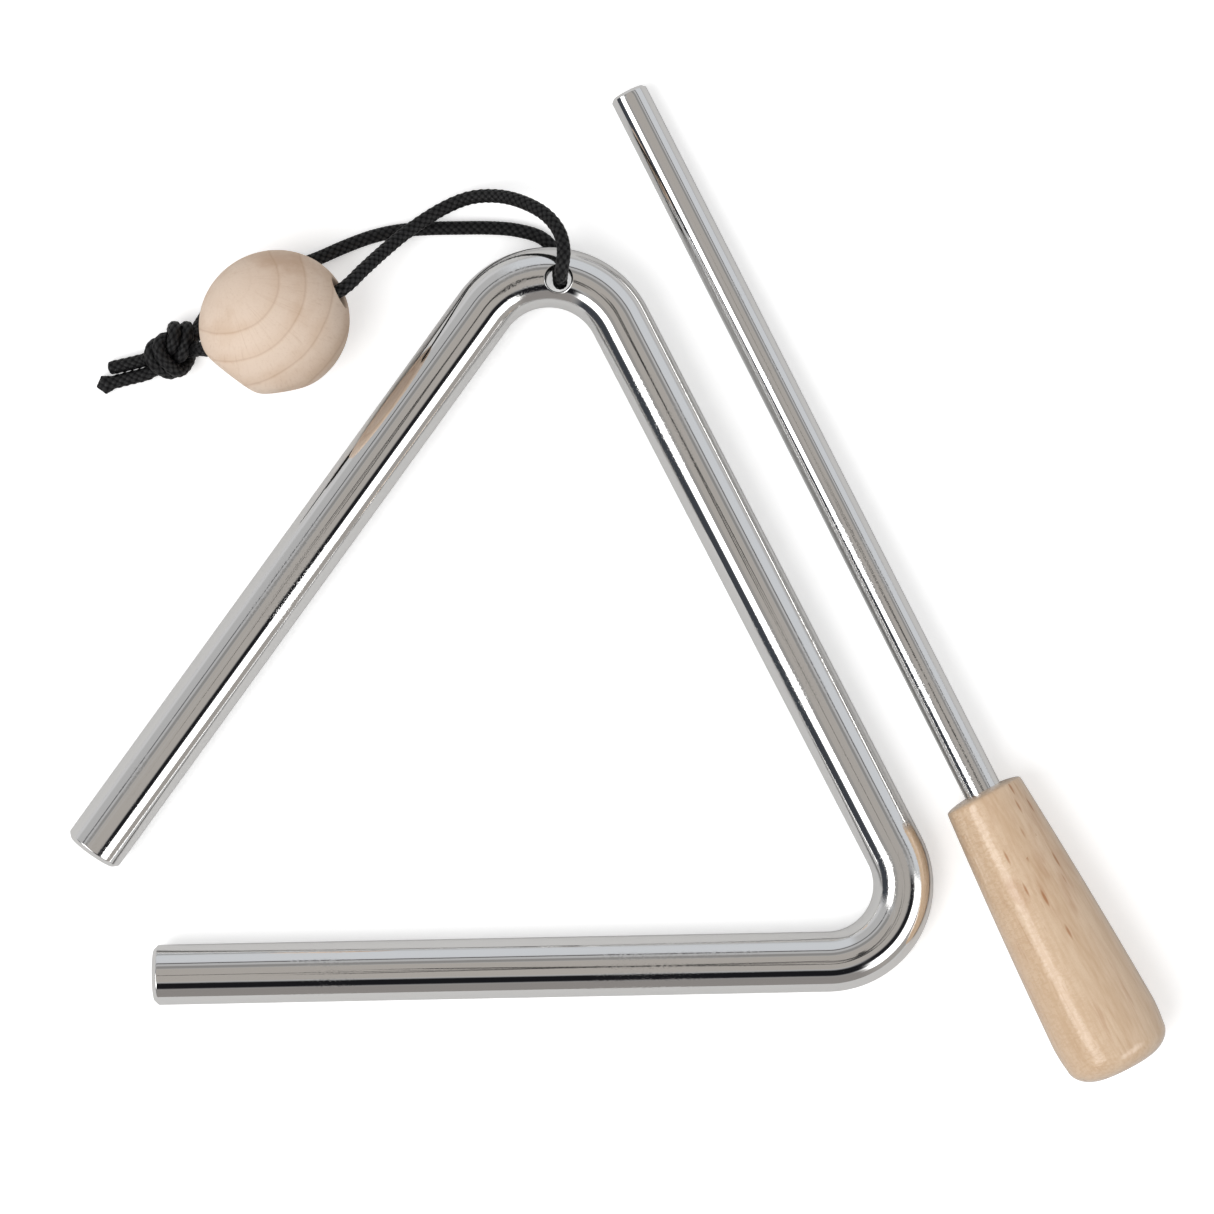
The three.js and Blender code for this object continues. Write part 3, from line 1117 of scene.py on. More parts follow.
    def _key(self) -> None:
        """Hang a soft round lamp over the table, turned to its middle, which mirrors don't show."""
        data = bpy.data.lights.new("key", "AREA")
        data.shape = "DISK"
        data.size = self.key_size * MM
        data.energy = self.key_power
        key = bpy.data.objects.new("key", data)
        key.location = [c * MM for c in self.key_place]
        shining = np.roll(rotation_from_axis(self.key_place), -1, axis=1)
        key.rotation_mode = "QUATERNION"
        key.rotation_quaternion = Matrix(shining.tolist()).to_quaternion()
        key.visible_glossy = False
        bpy.context.scene.collection.objects.link(key)


# Cord


@dataclass(frozen=True)
class Braid:
    """The woven surface of the cord: strands that wind both ways and pass over and under each other."""

    diameter: float = 1.9
    strands: int = 6
    pitch: float = 6.2
    relief: float = 0.23
    weave: float = 0.42
    sides: int = 60
    step: float = 0.13

    def skin(self, line: np.ndarray, girth: np.ndarray, flatness: np.ndarray) -> Shell:
        """Wrap the braid round a line.

        With u the turn round the cord and v the length over the pitch, one family of strands lies at
        a = strands (u + v) and the other at b = strands (u - v). A strand's crown is a half circle in the
        fractional part of a or b, raised or lowered by the sine of half the other family's count. The surface
        takes the higher family at each point.

        Args:
            line: The cord's middle line, at a step fine enough for the strands.
            girth: Share of the full radius at each point of the line.
            flatness: Share of the full height at each point of the line.

        Returns:
            The closed skin, with v, u and the braid's height kept for the material.
        """
        sides, lifts = carried_frames(line)
        u = np.arange(self.sides) / self.sides
        v = line_lengths(line) / self.pitch
        a = self.strands * (u[None, :] + v[:, None])
        b = self.strands * (u[None, :] - v[:, None])
        first = self._crown(a) + self.weave * np.sin(np.pi * b + np.pi * np.floor(a))
        second = self._crown(b) - self.weave * np.sin(np.pi * a + np.pi * np.floor(b))
        top = 1 + self.weave
        height = np.clip(np.maximum(first, second), 0, top) / top
        radius = (self.diameter / 2 - self.relief * (1 - height)) * girth[:, None]
        turn = 2 * np.pi * u[None, :, None]
        offset = radius[..., None] * (np.cos(turn) * sides[:, None, :] + np.sin(turn) * lifts[:, None, :])
        offset[..., 2] *= flatness[:, None]
        lie = np.stack(np.broadcast_arrays(v[:, None], u[None, :], height), -1)
        return closed_tube(line[:, None, :] + offset, lie)

    @staticmethod
    def _crown(count: np.ndarray) -> np.ndarray:
        """Work out a strand's crown: a half circle over the fractional part of its family's count."""
        across = 2 * (count - np.floor(count)) - 1
        return np.sqrt(np.clip(1 - across**2, 0, 1))


@dataclass
class OverhandKnot:
    """An overhand knot tied in two strands at once.

    It starts wide open, as the plan curve t^3 - 3t, t^4 - 4t^2 with a strand on each side of it, which passes
    over and under itself by turns. Then the strands are drawn shorter step by step, and pushed apart wherever
    they come closer than one cord's width, until the knot is tight. Last, it is laid between the strands that
    reach it and the two tails, and settles onto the table.
    """

    width: float = 1.66
    open_scale: float = 3.2
    crossings: tuple[float, ...] = (-2.12, -1.932, -1.732, -0.518, 0.518, 1.732, 1.932, 2.12)
    heights: tuple[float, ...] = (0.0, 3.0, -3.0, 3.0, -3.0, 3.0, -3.0, 0.0)
    spread: float = 1.05
    half_reach: float = 22.0
    spacing: float = 0.9
    laid_spacing: float = 0.54
    rounds: int = 500
    laid_rounds: int = 260
    draw: float = 0.5
    drawn_by: float = 0.7
    pulls: int = 4
    pull: float = 0.8
    stiffness: float = 0.12
    pushes: int = 2
    push: float = 0.25
    kin_reach: float = 3.2
    core: tuple[float, float] = (0.31, 0.69)
    kept_reach: float = 4.6
    roll: float = 240.0
    heading: float = 28.0
    place: Place = (-51.2, -9.2, 3.0)

    def tie(self, entries: Sequence[np.ndarray], tails: Sequence[np.ndarray], low: float) -> list[np.ndarray]:
        """Tie the knot and join it to what comes before and after it.

        Args:
            entries: The lines of the two strands that reach the knot.
            tails: The lines of their tails.
            low: Lowest height of a strand's middle line.

        Returns:
            The two whole lines.
        """
        strands = self._open_pair()
        fixed = [np.isin(np.arange(len(s)), [0, len(s) - 1]) for s in strands]
        placed = self._laid(self._relax(strands, fixed, self.rounds, self.draw))
        whole, fixed = [], []
        for lines in zip(entries, placed, tails):
            parts = [evenly_spaced(line, self.laid_spacing) for line in lines]
            whole.append(np.vstack(parts))
            fixed.append(np.repeat([True, False, True], [len(part) for part in parts]))
        return self._relax(whole, fixed, self.laid_rounds, 1.0, low)

    def _open_pair(self) -> list[np.ndarray]:
        """Draw the two strands of the open knot.

        Returns:
            The two lines.
        """
        marks, heights = np.array(self.crossings), np.array(self.heights)
        t = np.linspace(marks[0], marks[-1], 800)
        span = np.clip(np.searchsorted(marks, t, side="right") - 1, 0, len(marks) - 2)
        share = eased((t - marks[span]) / (marks[span + 1] - marks[span]))
        rise = heights[span] * (1 - share) + heights[span + 1] * share
        across, along = (t**3 - 3 * t) * self.open_scale, (t**4 - 4 * t**2) * self.open_scale
        curve = np.stack([across, along, rise], axis=1)
        level = (curve[0, 1] + curve[-1, 1]) / 2
        ends = [np.array([sign * self.half_reach, level, 0.0]) for sign in (-1, 1)]
        line = softened(evenly_spaced(np.vstack([ends[0], curve, ends[1]]), self.spacing), 8)
        sides, _ = carried_frames(line)
        return [line + sign * self.spread * sides for sign in (-1.0, 1.0)]

    def _relax(
        self, strands: list[np.ndarray], fixed: list[np.ndarray], rounds: int, draw: float,
        low: Optional[float] = None,
    ) -> list[np.ndarray]:
        """Draw strands shorter while they keep one cord's width apart.

        Each round first pulls neighbouring points to their wanted distance, then straightens the strands a
        little, and last pushes apart points that are too close, unless they are near on the same strand.

        Args:
            strands: The strands' lines.
            fixed: Which points of each line stay where they are.
            rounds: How often the points move.
            draw: Share of its length to which a strand is drawn.
            low: Lowest height of a point; no table if left out.

        Returns:
            The relaxed lines.
        """
        counts = [len(s) for s in strands]
        points = np.vstack(strands)
        owner = np.repeat(np.arange(len(strands)), counts)
        index = np.concatenate([np.arange(c) for c in counts])
        rest = np.concatenate([np.linalg.norm(np.diff(s, axis=0), axis=1) for s in strands])
        if low is not None:
            rest = np.full_like(rest, self.laid_spacing)
        links = np.flatnonzero(owner[1:] == owner[:-1])
        pinned = np.concatenate(fixed)
        free = (~pinned)[:, None].astype(float)
        inner = np.flatnonzero(~pinned)
        near = int(math.ceil(self.kin_reach / self.laid_spacing))
        kin = (owner[:, None] == owner[None, :]) & (np.abs(index[:, None] - index[None, :]) <= near)
        kin |= pinned[:, None] & pinned[None, :]
        for k in range(rounds):
            scale = 1.0 + (draw - 1.0) * min(1.0, k / (self.drawn_by * rounds))
            for _ in range(self.pulls):
                delta = points[links + 1] - points[links]
                length = np.linalg.norm(delta, axis=1)
                pull = (0.5 * (length - rest * scale) / np.maximum(length, 1e-9))[:, None] * delta
                move = np.zeros_like(points)
                np.add.at(move, links, pull)
                np.add.at(move, links + 1, -pull)
                points += self.pull * move * free
            points[inner] += self.stiffness * (points[inner - 1] + points[inner + 1] - 2 * points[inner])
            for _ in range(self.pushes):
                apart = points[:, None, :] - points[None, :, :]
                gap = np.sqrt((apart**2).sum(-1))
                deep = np.where(kin, 0.0, np.clip(self.width - gap, 0, None))
                points += self.push * (apart * (deep / np.maximum(gap, 1e-6))[..., None]).sum(1) * free
            if low is not None:
                points[inner, 2] = np.maximum(points[inner, 2], low)
        return [points[owner == i] for i in range(len(strands))]

    def _laid(self, strands: list[np.ndarray]) -> list[np.ndarray]:
        """Keep the knot's core, roll it, turn it to its heading and put it in its place.

        Args:
            strands: The two lines of the tight knot.

        Returns:
            Their cores, from the bead's side to the tails.
        """
        first, last = self.core
        middles = np.vstack([s[int(len(s) * first) : int(len(s) * last)] for s in strands])
        centre = (middles.min(0) + middles.max(0)) / 2
        rolled, headed = rotation_about(0, self.roll), rotation_about(2, self.heading)
        laid = []
        for strand in strands:
            inside = np.flatnonzero(np.abs(strand[:, 0] - centre[0]) < self.kept_reach)
            core = strand[inside[0] : inside[-1] + 1]
            laid.append((((core - centre) @ rolled.T) @ headed.T + self.place)[::-1].copy())
        return laid


@dataclass(frozen=True)
class Flat:
    """A soft flat on the bead: its direction, its distance from the middle and how softly it sets in."""

    direction: Place
    reach: float
    soft: float


@dataclass
class CordHolder:
    """The doubled cord from the bar's hole to its two tails, and the wooden bead on it.

    The route and the ends of the blend are counted from the hole. The route runs from the knot under the bar
    to the hole and back on top through the bead's bore.
    """

    hole: np.ndarray
    braid: Braid = field(default_factory=Braid)
    knot: OverhandKnot = field(default_factory=OverhandKnot)
    low: float = 1.0
    bead_centre: Place = (-45.137, 34.131, 9.513)
    bore_axis: Place = (0.9023, 0.4017, 0.1564)
    bead_length: float = 20.1
    bead_diameter: float = 19.0
    bead_sides: int = 144
    bead_sharp: float = 50.0
    flats: tuple[Flat, ...] = (Flat((0.17, -0.98, 0.0), 9.17, 0.25), Flat((-0.61, -0.79, 0.0), 9.0, 0.3))
    flat_share: float = 0.9
    bore_radius: float = 2.1
    mouth_round: float = 0.35
    route: tuple[Place, ...] = (
        (-48.4, -6.1, 1.5), (-47.7, -4.9, 1.1), (-46.2, -2.7, 1.0), (-43.6, -0.3, 1.0), (-40.0, 1.5, 1.0),
        (-36.1, 2.1, 1.0), (-32.4, 3.3, 1.0), (-29.2, 4.7, 1.0), (-25.2, 6.2, 1.0), (-21.6, 7.0, 1.0),
        (-18.1, 7.3, 1.0), (-13.5, 7.4, 1.0), (-9.1, 7.4, 1.0), (-5.7, 7.1, 1.0), (-2.2, 6.0, 1.0),
        (-0.5, 4.0, 1.0), (-0.1, 2.1, 1.0), (0.0, 0.6, 1.5), (0.1, 0.0, 2.9), (0.2, -0.2, 4.6),
        (0.2, -0.2, 8.6), (0.3, 0.0, 10.4), (0.4, 0.7, 11.6), (0.6, 2.0, 12.1), (0.7, 3.5, 12.0),
        (0.2, 5.8, 11.4), (-1.5, 8.2, 9.9), (-4.6, 10.2, 7.5), (-8.2, 11.3, 4.9), (-12.0, 11.2, 3.3),
        (-15.7, 9.7, 3.0), (-20.3, 6.6, 3.8), (-23.3, 3.9, 5.6), (-25.8, 1.3, 8.2), (-28.7, -1.6, 10.3),
        (-37.5, -5.5, 8.8), (-45.7, -9.2, 7.5), (-47.4, -9.2, 6.4), (-48.2, -8.9, 5.4),
    )
    hole_index: int = 19
    bore_index: int = 35
    short_tail: tuple[Place, ...] = ((-55.4, -10.3, 1.6), (-57.9, -10.9, 1.35), (-60.45, -11.45, 1.15))
    long_tail: tuple[Place, ...] = ((-55.2, -12.2, 1.6), (-58.6, -13.0, 1.2), (-61.95, -13.9, 1.1))
    blend_start: Place = (-13.0, 11.0, 3.0)
    blend_end: Place = (-28.2, -1.2, 10.0)

    def build(self) -> list[bpy.types.Object]:
        """Make the three stretches of cord and the bead, and tie all but the front strand to their bodies.

        Returns:
            The stretches and the bead.
        """
        shift = np.array([self.hole[0], self.hole[1], 0.0])
        front, bore, back = (line + shift for line in self._lines())
        front_piece = self._stretch("front_strand", front, Tip.CUT)
        bore_piece = self._stretch("bore_strand", bore, Tip.ROUNDED)
        back_piece = self._stretch("back_strand", back, Tip.MELTED)
        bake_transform(front_piece)
        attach(bore_piece, "holder")
        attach(back_piece, "holder")
        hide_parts("cord_front_strand")
        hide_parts("cord_bore_strand", "cord_short_tail")
        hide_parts("cord_bar_loop", "cord_back_strand", "cord_knot", "cord_long_tail")
        return [front_piece, bore_piece, back_piece, self._bead()]

    def _lines(self) -> list[np.ndarray]:
        """Draw the middle lines of the three stretches, counted from the hole.

        Returns:
            The front strand from the hole to the bead, the strand through the bore, the knot and the short
            tail, and the back strand from the hole under the bar and the bead to the long tail.
        """
        points = np.array(self.route)
        middle = (points[self.hole_index] + points[self.hole_index + 1]) / 2
        front = np.vstack([middle, points[self.hole_index + 1 : self.bore_index + 1]])
        back = np.vstack([middle, points[: self.hole_index + 1][::-1]])
        reaching = [rounded_line(back), rounded_line(points[self.bore_index :])]
        tails = [rounded_line(self.long_tail), rounded_line(self.short_tail)]
        back, bore = (self._smoothed(line) for line in self.knot.tie(reaching, tails, self.low))
        return [rounded_line(front), bore, back]

    @staticmethod
    def _smoothed(line: np.ndarray) -> np.ndarray:
        """Round off the small corners between a line's points.

        Args:
            line: The line, one point per row.

        Returns:
            The line at a finer step, without points that nearly coincide.
        """
        least_step, fine_step = 0.15, 0.2
        kept = np.linalg.norm(np.diff(line, axis=0), axis=1) > least_step
        rounded = rounded_line(line[np.concatenate([[True], kept])], 6)
        return softened(evenly_spaced(rounded, fine_step), 10)

    def _stretch(self, name: str, line: np.ndarray, tip: Tip) -> bpy.types.Object:
        """Wrap the braid round one line and shape its far end.

        A rounded tip closes over its last half millimetre. A melted one swells into a flat arrowhead first.

        Args:
            name: The stretch's name.
            line: Its middle line.
            tip: How it ends.

        Returns:
            The stretch.
        """
        even = evenly_spaced(line, self.braid.step)
        left = line_lengths(even)[-1] - line_lengths(even)
        girth, flatness = np.ones(len(even)), np.ones(len(even))
        if tip is Tip.ROUNDED:
            girth = np.sqrt(np.clip(1 - (1 - left / 0.5).clip(0, 1) ** 2, 0.02, 1))
        elif tip is Tip.MELTED:
            girth = np.interp(left, (0.0, 0.12, 0.9, 1.35, 2.1), (0.12, 0.3, 1.32, 1.36, 1.0))
            flatness = np.interp(left, (0.0, 1.2, 2.4), (0.62, 0.68, 1.0))
        finish = bpy.data.materials.get("waxed_braid") or WaxedBraid().material("waxed_braid")
        return self.braid.skin(even, girth, flatness).to_object(name, finish)

    def _bead_profile(self) -> np.ndarray:
        """List the bead's outline: over its back, round one mouth, through the bore and round the other.

        Returns:
            Rows of radius and station, the last of which joins the first.
        """
        half, radius = self.bead_length / 2, self.bead_diameter / 2
        bore, soft = self.bore_radius, self.mouth_round
        edge = math.asin((bore + soft) / radius)
        angles = np.linspace(edge, math.pi - edge, 120)
        outer = np.stack([radius * np.sin(angles), half * np.cos(angles)], 1)
        station = half * math.sqrt(1 - ((bore + soft) / radius) ** 2)
        wall = np.linspace(-(station - soft), station - soft, 14)
        inner = np.stack([np.full_like(wall, bore), wall], 1)
        turn = np.radians(np.linspace(0, 90, 7)[1:-1])
        lip = np.stack([bore + soft * (1 - np.sin(turn)), station - soft * (1 - np.cos(turn))], 1)
        return np.vstack([outer, lip * [1, -1], inner, lip[::-1]])

    def _bead(self) -> bpy.types.Object:
        """Turn the bead about its bore and press in its two soft flats.

        Beyond a flat's reach a point is pulled back by the soft maximum of nought and what stands out.

        Returns:
            The bead.
        """
        grid = turned(self._bead_profile(), self.bead_sides) @ rotation_from_axis(self.bore_axis).T
        for flat in self.flats:
            normal = unit(np.array(flat.direction))
            pulled = flat.soft * np.logaddexp(0, (grid @ normal - flat.reach) / flat.soft)
            grid = grid - pulled[..., None] * normal * self.flat_share
        grid = grid + np.array(self.bead_centre)
        index = grid_indices(grid)
        faces = strip_faces(np.vstack([index, index[:1]]), flip=True)
        finish = BareWood(centre=tuple(np.array(self.bead_centre) * MM)).material("bare_wood")
        bead = Shell(grid.reshape(-1, 3), faces).to_object("bead", finish, self.bead_sharp)
        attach(bead, "bead")
        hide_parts("holder_bead")
        return bead


# Bar


@dataclass(frozen=True)
class Bend:
    """The middle line of one bend: its arc's centre, the angles, and the points and outward sides at them."""

    centre: np.ndarray
    angles: np.ndarray
    points: np.ndarray
    outward: np.ndarray


@dataclass(frozen=True)
class Ring:
    """One round section of the bar.

    The slope is the share of a right angle by which its normals lean towards the end.
    """

    centre: np.ndarray
    outward: np.ndarray
    end: np.ndarray
    radius: float
    slope: float = 0.0


@dataclass
class TriangleBar:
    """The bent bar with its drilled top bend and chamfered ends.

    Each row of the chamfer gives the depth behind the end's face, the drop below the full radius and the
    slope of the normals.
    """

    radius: float = 4.0
    base_end: Place = (-61.583, -52.469, 3.999)
    right_corner: Place = (44.696, -50.372, 3.999)
    top_corner: Place = (-7.405, 49.980, 6.550)
    left_end: Place = (-69.842, -36.024, 4.417)
    right_radius: float = 10.2
    top_radius: float = 10.7
    bend_step: float = 2.0
    least_step: float = 0.4
    straight_shares: tuple[float, ...] = (0.02, 0.5, 0.98)
    chamfer: tuple[tuple[float, float, float], ...] = (
        (0.72, 0.0, 0.0), (0.61, 0.025, 0.15), (0.53, 0.08, 0.5),
        (0.08, 0.53, 0.5), (0.025, 0.61, 0.85), (0.0, 0.72, 1.0),
    )
    sides: int = 128
    hole_turn: float = 3.0
    hole_inset: float = 0.3
    hole_radius: float = 1.7
    hole_round: float = 0.3
    patch_stations: int = 9
    patch_sides: int = 14
    patch_steps: int = 6
    round_steps: int = 7
    lining_steps: int = 8
    normal: np.ndarray = field(init=False)

    def __post_init__(self) -> None:
        """Work out the direction square to the bar's plane, upwards."""
        corner = np.array(self.right_corner)
        normal = unit(np.cross(self.top_corner - corner, self.base_end - corner))
        self.normal = normal if normal[2] > 0 else -normal

    def build(self) -> list[bpy.types.Object]:
        """Make the bar and give it its plating.

        Returns:
            The bar.
        """
        bar = self._shell().to_object("bar", Chrome().material("chrome_bar"))
        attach(bar, "triangle")
        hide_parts("triangle_bar")
        return [bar]

    def _bend(self, before: Vector3, corner: Vector3, after: Vector3, radius: float, first: float) -> Bend:
        """Round one corner.

        Angles count from the bend's middle. A point lies at the centre plus the radius times the outward
        side: the opposite of the inward direction times the angle's cosine, plus the run times its sine.

        Args:
            before: A point on the leg that comes in.
            corner: Where the legs' middle lines meet.
            after: A point on the leg that goes out.
            radius: Radius of the middle line.
            first: An angle before the middle, in degrees, on which a section has to lie.

        Returns:
            The bend.
        """
        a, b = unit(np.subtract(before, corner)), unit(np.subtract(after, corner))
        half = math.acos(float(np.clip(a @ b, -1, 1))) / 2
        inward, run = unit(a + b), unit(b - a)
        centre = np.array(corner) + inward * radius / math.sin(half)
        sweep = math.degrees(math.pi / 2 - half)
        steps = np.arange(-first - 60, 60, self.bend_step)
        steps = steps[np.abs(steps) < sweep - self.least_step]
        angles = np.concatenate([[-sweep], steps, [sweep]])
        turn = np.radians(angles)[:, None]
        outward = -inward * np.cos(turn) + run * np.sin(turn)
        return Bend(centre, angles, centre + radius * outward, outward)

    def _rings(self, right: Bend, top: Bend) -> tuple[list[Ring], int]:
        """List the sections from the base's end round both bends to the left leg's end.

        Args:
            right: The lower right bend.
            top: The top bend.

        Returns:
            The sections, and the number of the first one on the top bend.
        """
        base_end, left_end = np.array(self.base_end), np.array(self.left_end)
        base_way, left_way = unit(base_end - self.right_corner), unit(left_end - self.top_corner)

        def chamfer(end: np.ndarray, outward: np.ndarray, way: np.ndarray) -> list[Ring]:
            """List the chamfer's sections at one end, from the full bar to the face."""
            return [Ring(end - way * d, outward, way, self.radius - drop, s) for d, drop, s in self.chamfer]

        def straight(start: np.ndarray, end: np.ndarray, outward: np.ndarray) -> list[Ring]:
            """List the sections of one leg."""
            shares = self.straight_shares
            return [Ring(start * (1 - s) + end * s, outward, base_way, self.radius) for s in shares]

        def bent(bend: Bend) -> list[Ring]:
            """List the sections of one bend."""
            return [Ring(p, o, base_way, self.radius) for p, o in zip(bend.points, bend.outward)]

        rings = chamfer(base_end, right.outward[0], base_way)[::-1]
        rings += straight(base_end, right.points[0], right.outward[0]) + bent(right)
        rings += straight(right.points[-1], top.points[0], right.outward[-1])
        top_first = len(rings)
        rings += bent(top) + straight(top.points[-1], left_end, top.outward[-1])
        rings += chamfer(left_end, top.outward[-1], left_way)
        return rings, top_first

    def _shell(self) -> Shell:
        """Sweep the round section, then open the patches over and under the hole and line the hole.

        Returns:
            The whole surface.
        """
        right = self._bend(self.base_end, self.right_corner, self.top_corner, self.right_radius, 0.0)
        top = self._bend(self.right_corner, self.top_corner, self.left_end, self.top_radius, self.hole_turn)
        rings, top_first = self._rings(right, top)
        grid, normals = self._swept(rings)
        bend_ring = int(np.argmin(np.abs(top.angles + self.hole_turn)))
        hole = top.centre + (self.top_radius - self.hole_inset) * top.outward[bend_ring]
        mesh = Patchwork()
        index = mesh.add(grid, normals)
        middles = np.stack([grid[0].mean(0), grid[-1].mean(0)])
        hubs = mesh.add(middles, np.stack([rings[0].end, rings[-1].end]))
        quads = np.array(strip_faces(index))
        faces = quads[~self._opened(quads[:, 0], top_first + bend_ring)].tolist()
        faces += fan_faces(index[0], hubs[0], False) + fan_faces(index[-1], hubs[1], True)
        rims, loops, walls = [], [], []
        for sign, middle in ((1, self.sides // 4), (-1, 3 * self.sides // 4)):
            edge = self._patch_edge(top_first + bend_ring, middle, sign)
            points, patch_normals = self._patch_rings(grid.reshape(-1, 3)[edge], hole, top.centre, sign)
            rows = np.vstack([edge, mesh.add(points, patch_normals)])
            faces += strip_faces(rows, flip=sign < 0)
            rims.append(rows[-1])
            loops.append(points[-1])
            walls.append(patch_normals[-1])
        share = np.linspace(0, 1, self.lining_steps + 1)[1:-1, None, None]
        lining = mesh.add(loops[0] * (1 - share) + loops[1] * share, walls[0])
        faces += strip_faces(np.vstack([rims[0], lining, rims[1]]))
        faces = [face[::-1] for face in faces]
        return Shell(np.vstack(mesh.vertices), faces, normals=np.vstack(mesh.normals))

    def _swept(self, rings: list[Ring]) -> tuple[np.ndarray, np.ndarray]:
        """Lay the vertices round every section.

        A vertex lies at the centre plus the radius times its spoke, which is the cosine of the turn times the
        outward side plus the sine times the plane's normal.

        Args:
            rings: The sections.

        Returns:
            The vertices and their normals, shaped rings by sides by 3.
        """
        centres, outward, ends = (
            np.stack([getattr(ring, name) for ring in rings])[:, None, :]
            for name in ("centre", "outward", "end")
        )
        radii = np.array([ring.radius for ring in rings])[:, None, None]
        lean = np.array([ring.slope for ring in rings])[:, None, None] * np.pi / 2
        turn = (2 * np.pi * np.arange(self.sides) / self.sides)[None, :, None]
        spoke = np.cos(turn) * outward + np.sin(turn) * self.normal
        return centres + radii * spoke, unit(spoke * np.cos(lean) + ends * np.sin(lean))

    def _opened(self, first: np.ndarray, hole_ring: int) -> np.ndarray:
        """Tell which quads of the sweep lie inside the two patches.

        Args:
            first: Index of each quad's first vertex.
            hole_ring: Number of the section at the hole.

        Returns:
            One truth value per quad.
        """
        ring, side = first // self.sides - hole_ring, first % self.sides % (self.sides // 2)
        along = (ring >= -self.patch_stations) & (ring < self.patch_stations)
        side = side - self.sides // 4
        return along & (side >= -self.patch_sides) & (side < self.patch_sides)

    def _patch_edge(self, ring: int, middle: int, sign: int) -> np.ndarray:
        """List the vertices round one patch, in the same order in plan for the upper and lower one.

        Args:
            ring: Number of the section at the hole.
            middle: Number of the side at the patch's middle.
            sign: 1 for the upper patch, -1 for the lower one.

        Returns:
            The vertices' indices.
        """
        low, high = ring - self.patch_stations, ring + self.patch_stations
        sides = [middle + k * sign for k in range(-self.patch_sides, self.patch_sides + 1)]
        edge = [(low, side) for side in sides[:-1]] + [(r, sides[-1]) for r in range(low, high)]
        edge += [(high, side) for side in sides[:0:-1]] + [(r, sides[0]) for r in range(high, low, -1)]
        return np.array([r * self.sides + side for r, side in edge])

    def _patch_rings(
        self, edge: np.ndarray, hole: np.ndarray, centre: np.ndarray, sign: int
    ) -> tuple[np.ndarray, np.ndarray]:
        """Lay rings from a patch's edge to the hole's wall.

        In plan each ring's point lies on the straight line from the edge's point to the hole's middle. Its
        height is the root of the section's radius squared less the squared distance from the bend's middle
        line, and over the rim's round it sinks by a quarter circle.

        Args:
            edge: The vertices round the patch.
            hole: The hole's middle.
            centre: The centre of the bend's arc.
            sign: 1 for the upper patch, -1 for the lower one.

        Returns:
            The rings' vertices and normals, shaped rings by edge by 3.
        """
        plan = edge - hole
        plan = plan - (plan @ self.normal)[:, None] * self.normal
        reach = np.linalg.norm(plan, axis=1)
        spoke = plan / reach[:, None]
        rim = self.hole_radius + self.hole_round
        shares = np.linspace(0, 1, self.patch_steps + 1)[1:]
        rows = [(reach * (1 - s) + rim * s, 0.0, 0.0) for s in shares]
        for lean in np.radians(np.linspace(0, 90, self.round_steps + 1)[1:]):
            radius = np.full_like(reach, self.hole_radius + self.hole_round * (1 - math.sin(lean)))
            rows.append((radius, self.hole_round * (1 - math.cos(lean)), lean))
        points, normals = [], []
        for radius, sink, lean in rows:
            flat = hole + spoke * radius[:, None]
            arm = flat - centre
            distance = np.linalg.norm(arm, axis=1)
            off = distance - self.top_radius
            height = np.sqrt(np.clip(self.radius**2 - off**2, 0, None))
            skin = unit((arm / distance[:, None]) * off[:, None] + sign * height[:, None] * self.normal)
            points.append(flat + sign * (height - sink)[:, None] * self.normal)
            normals.append(unit(math.cos(lean) * skin - math.sin(lean) * spoke))
        return np.stack(points), np.stack(normals)


# Beater


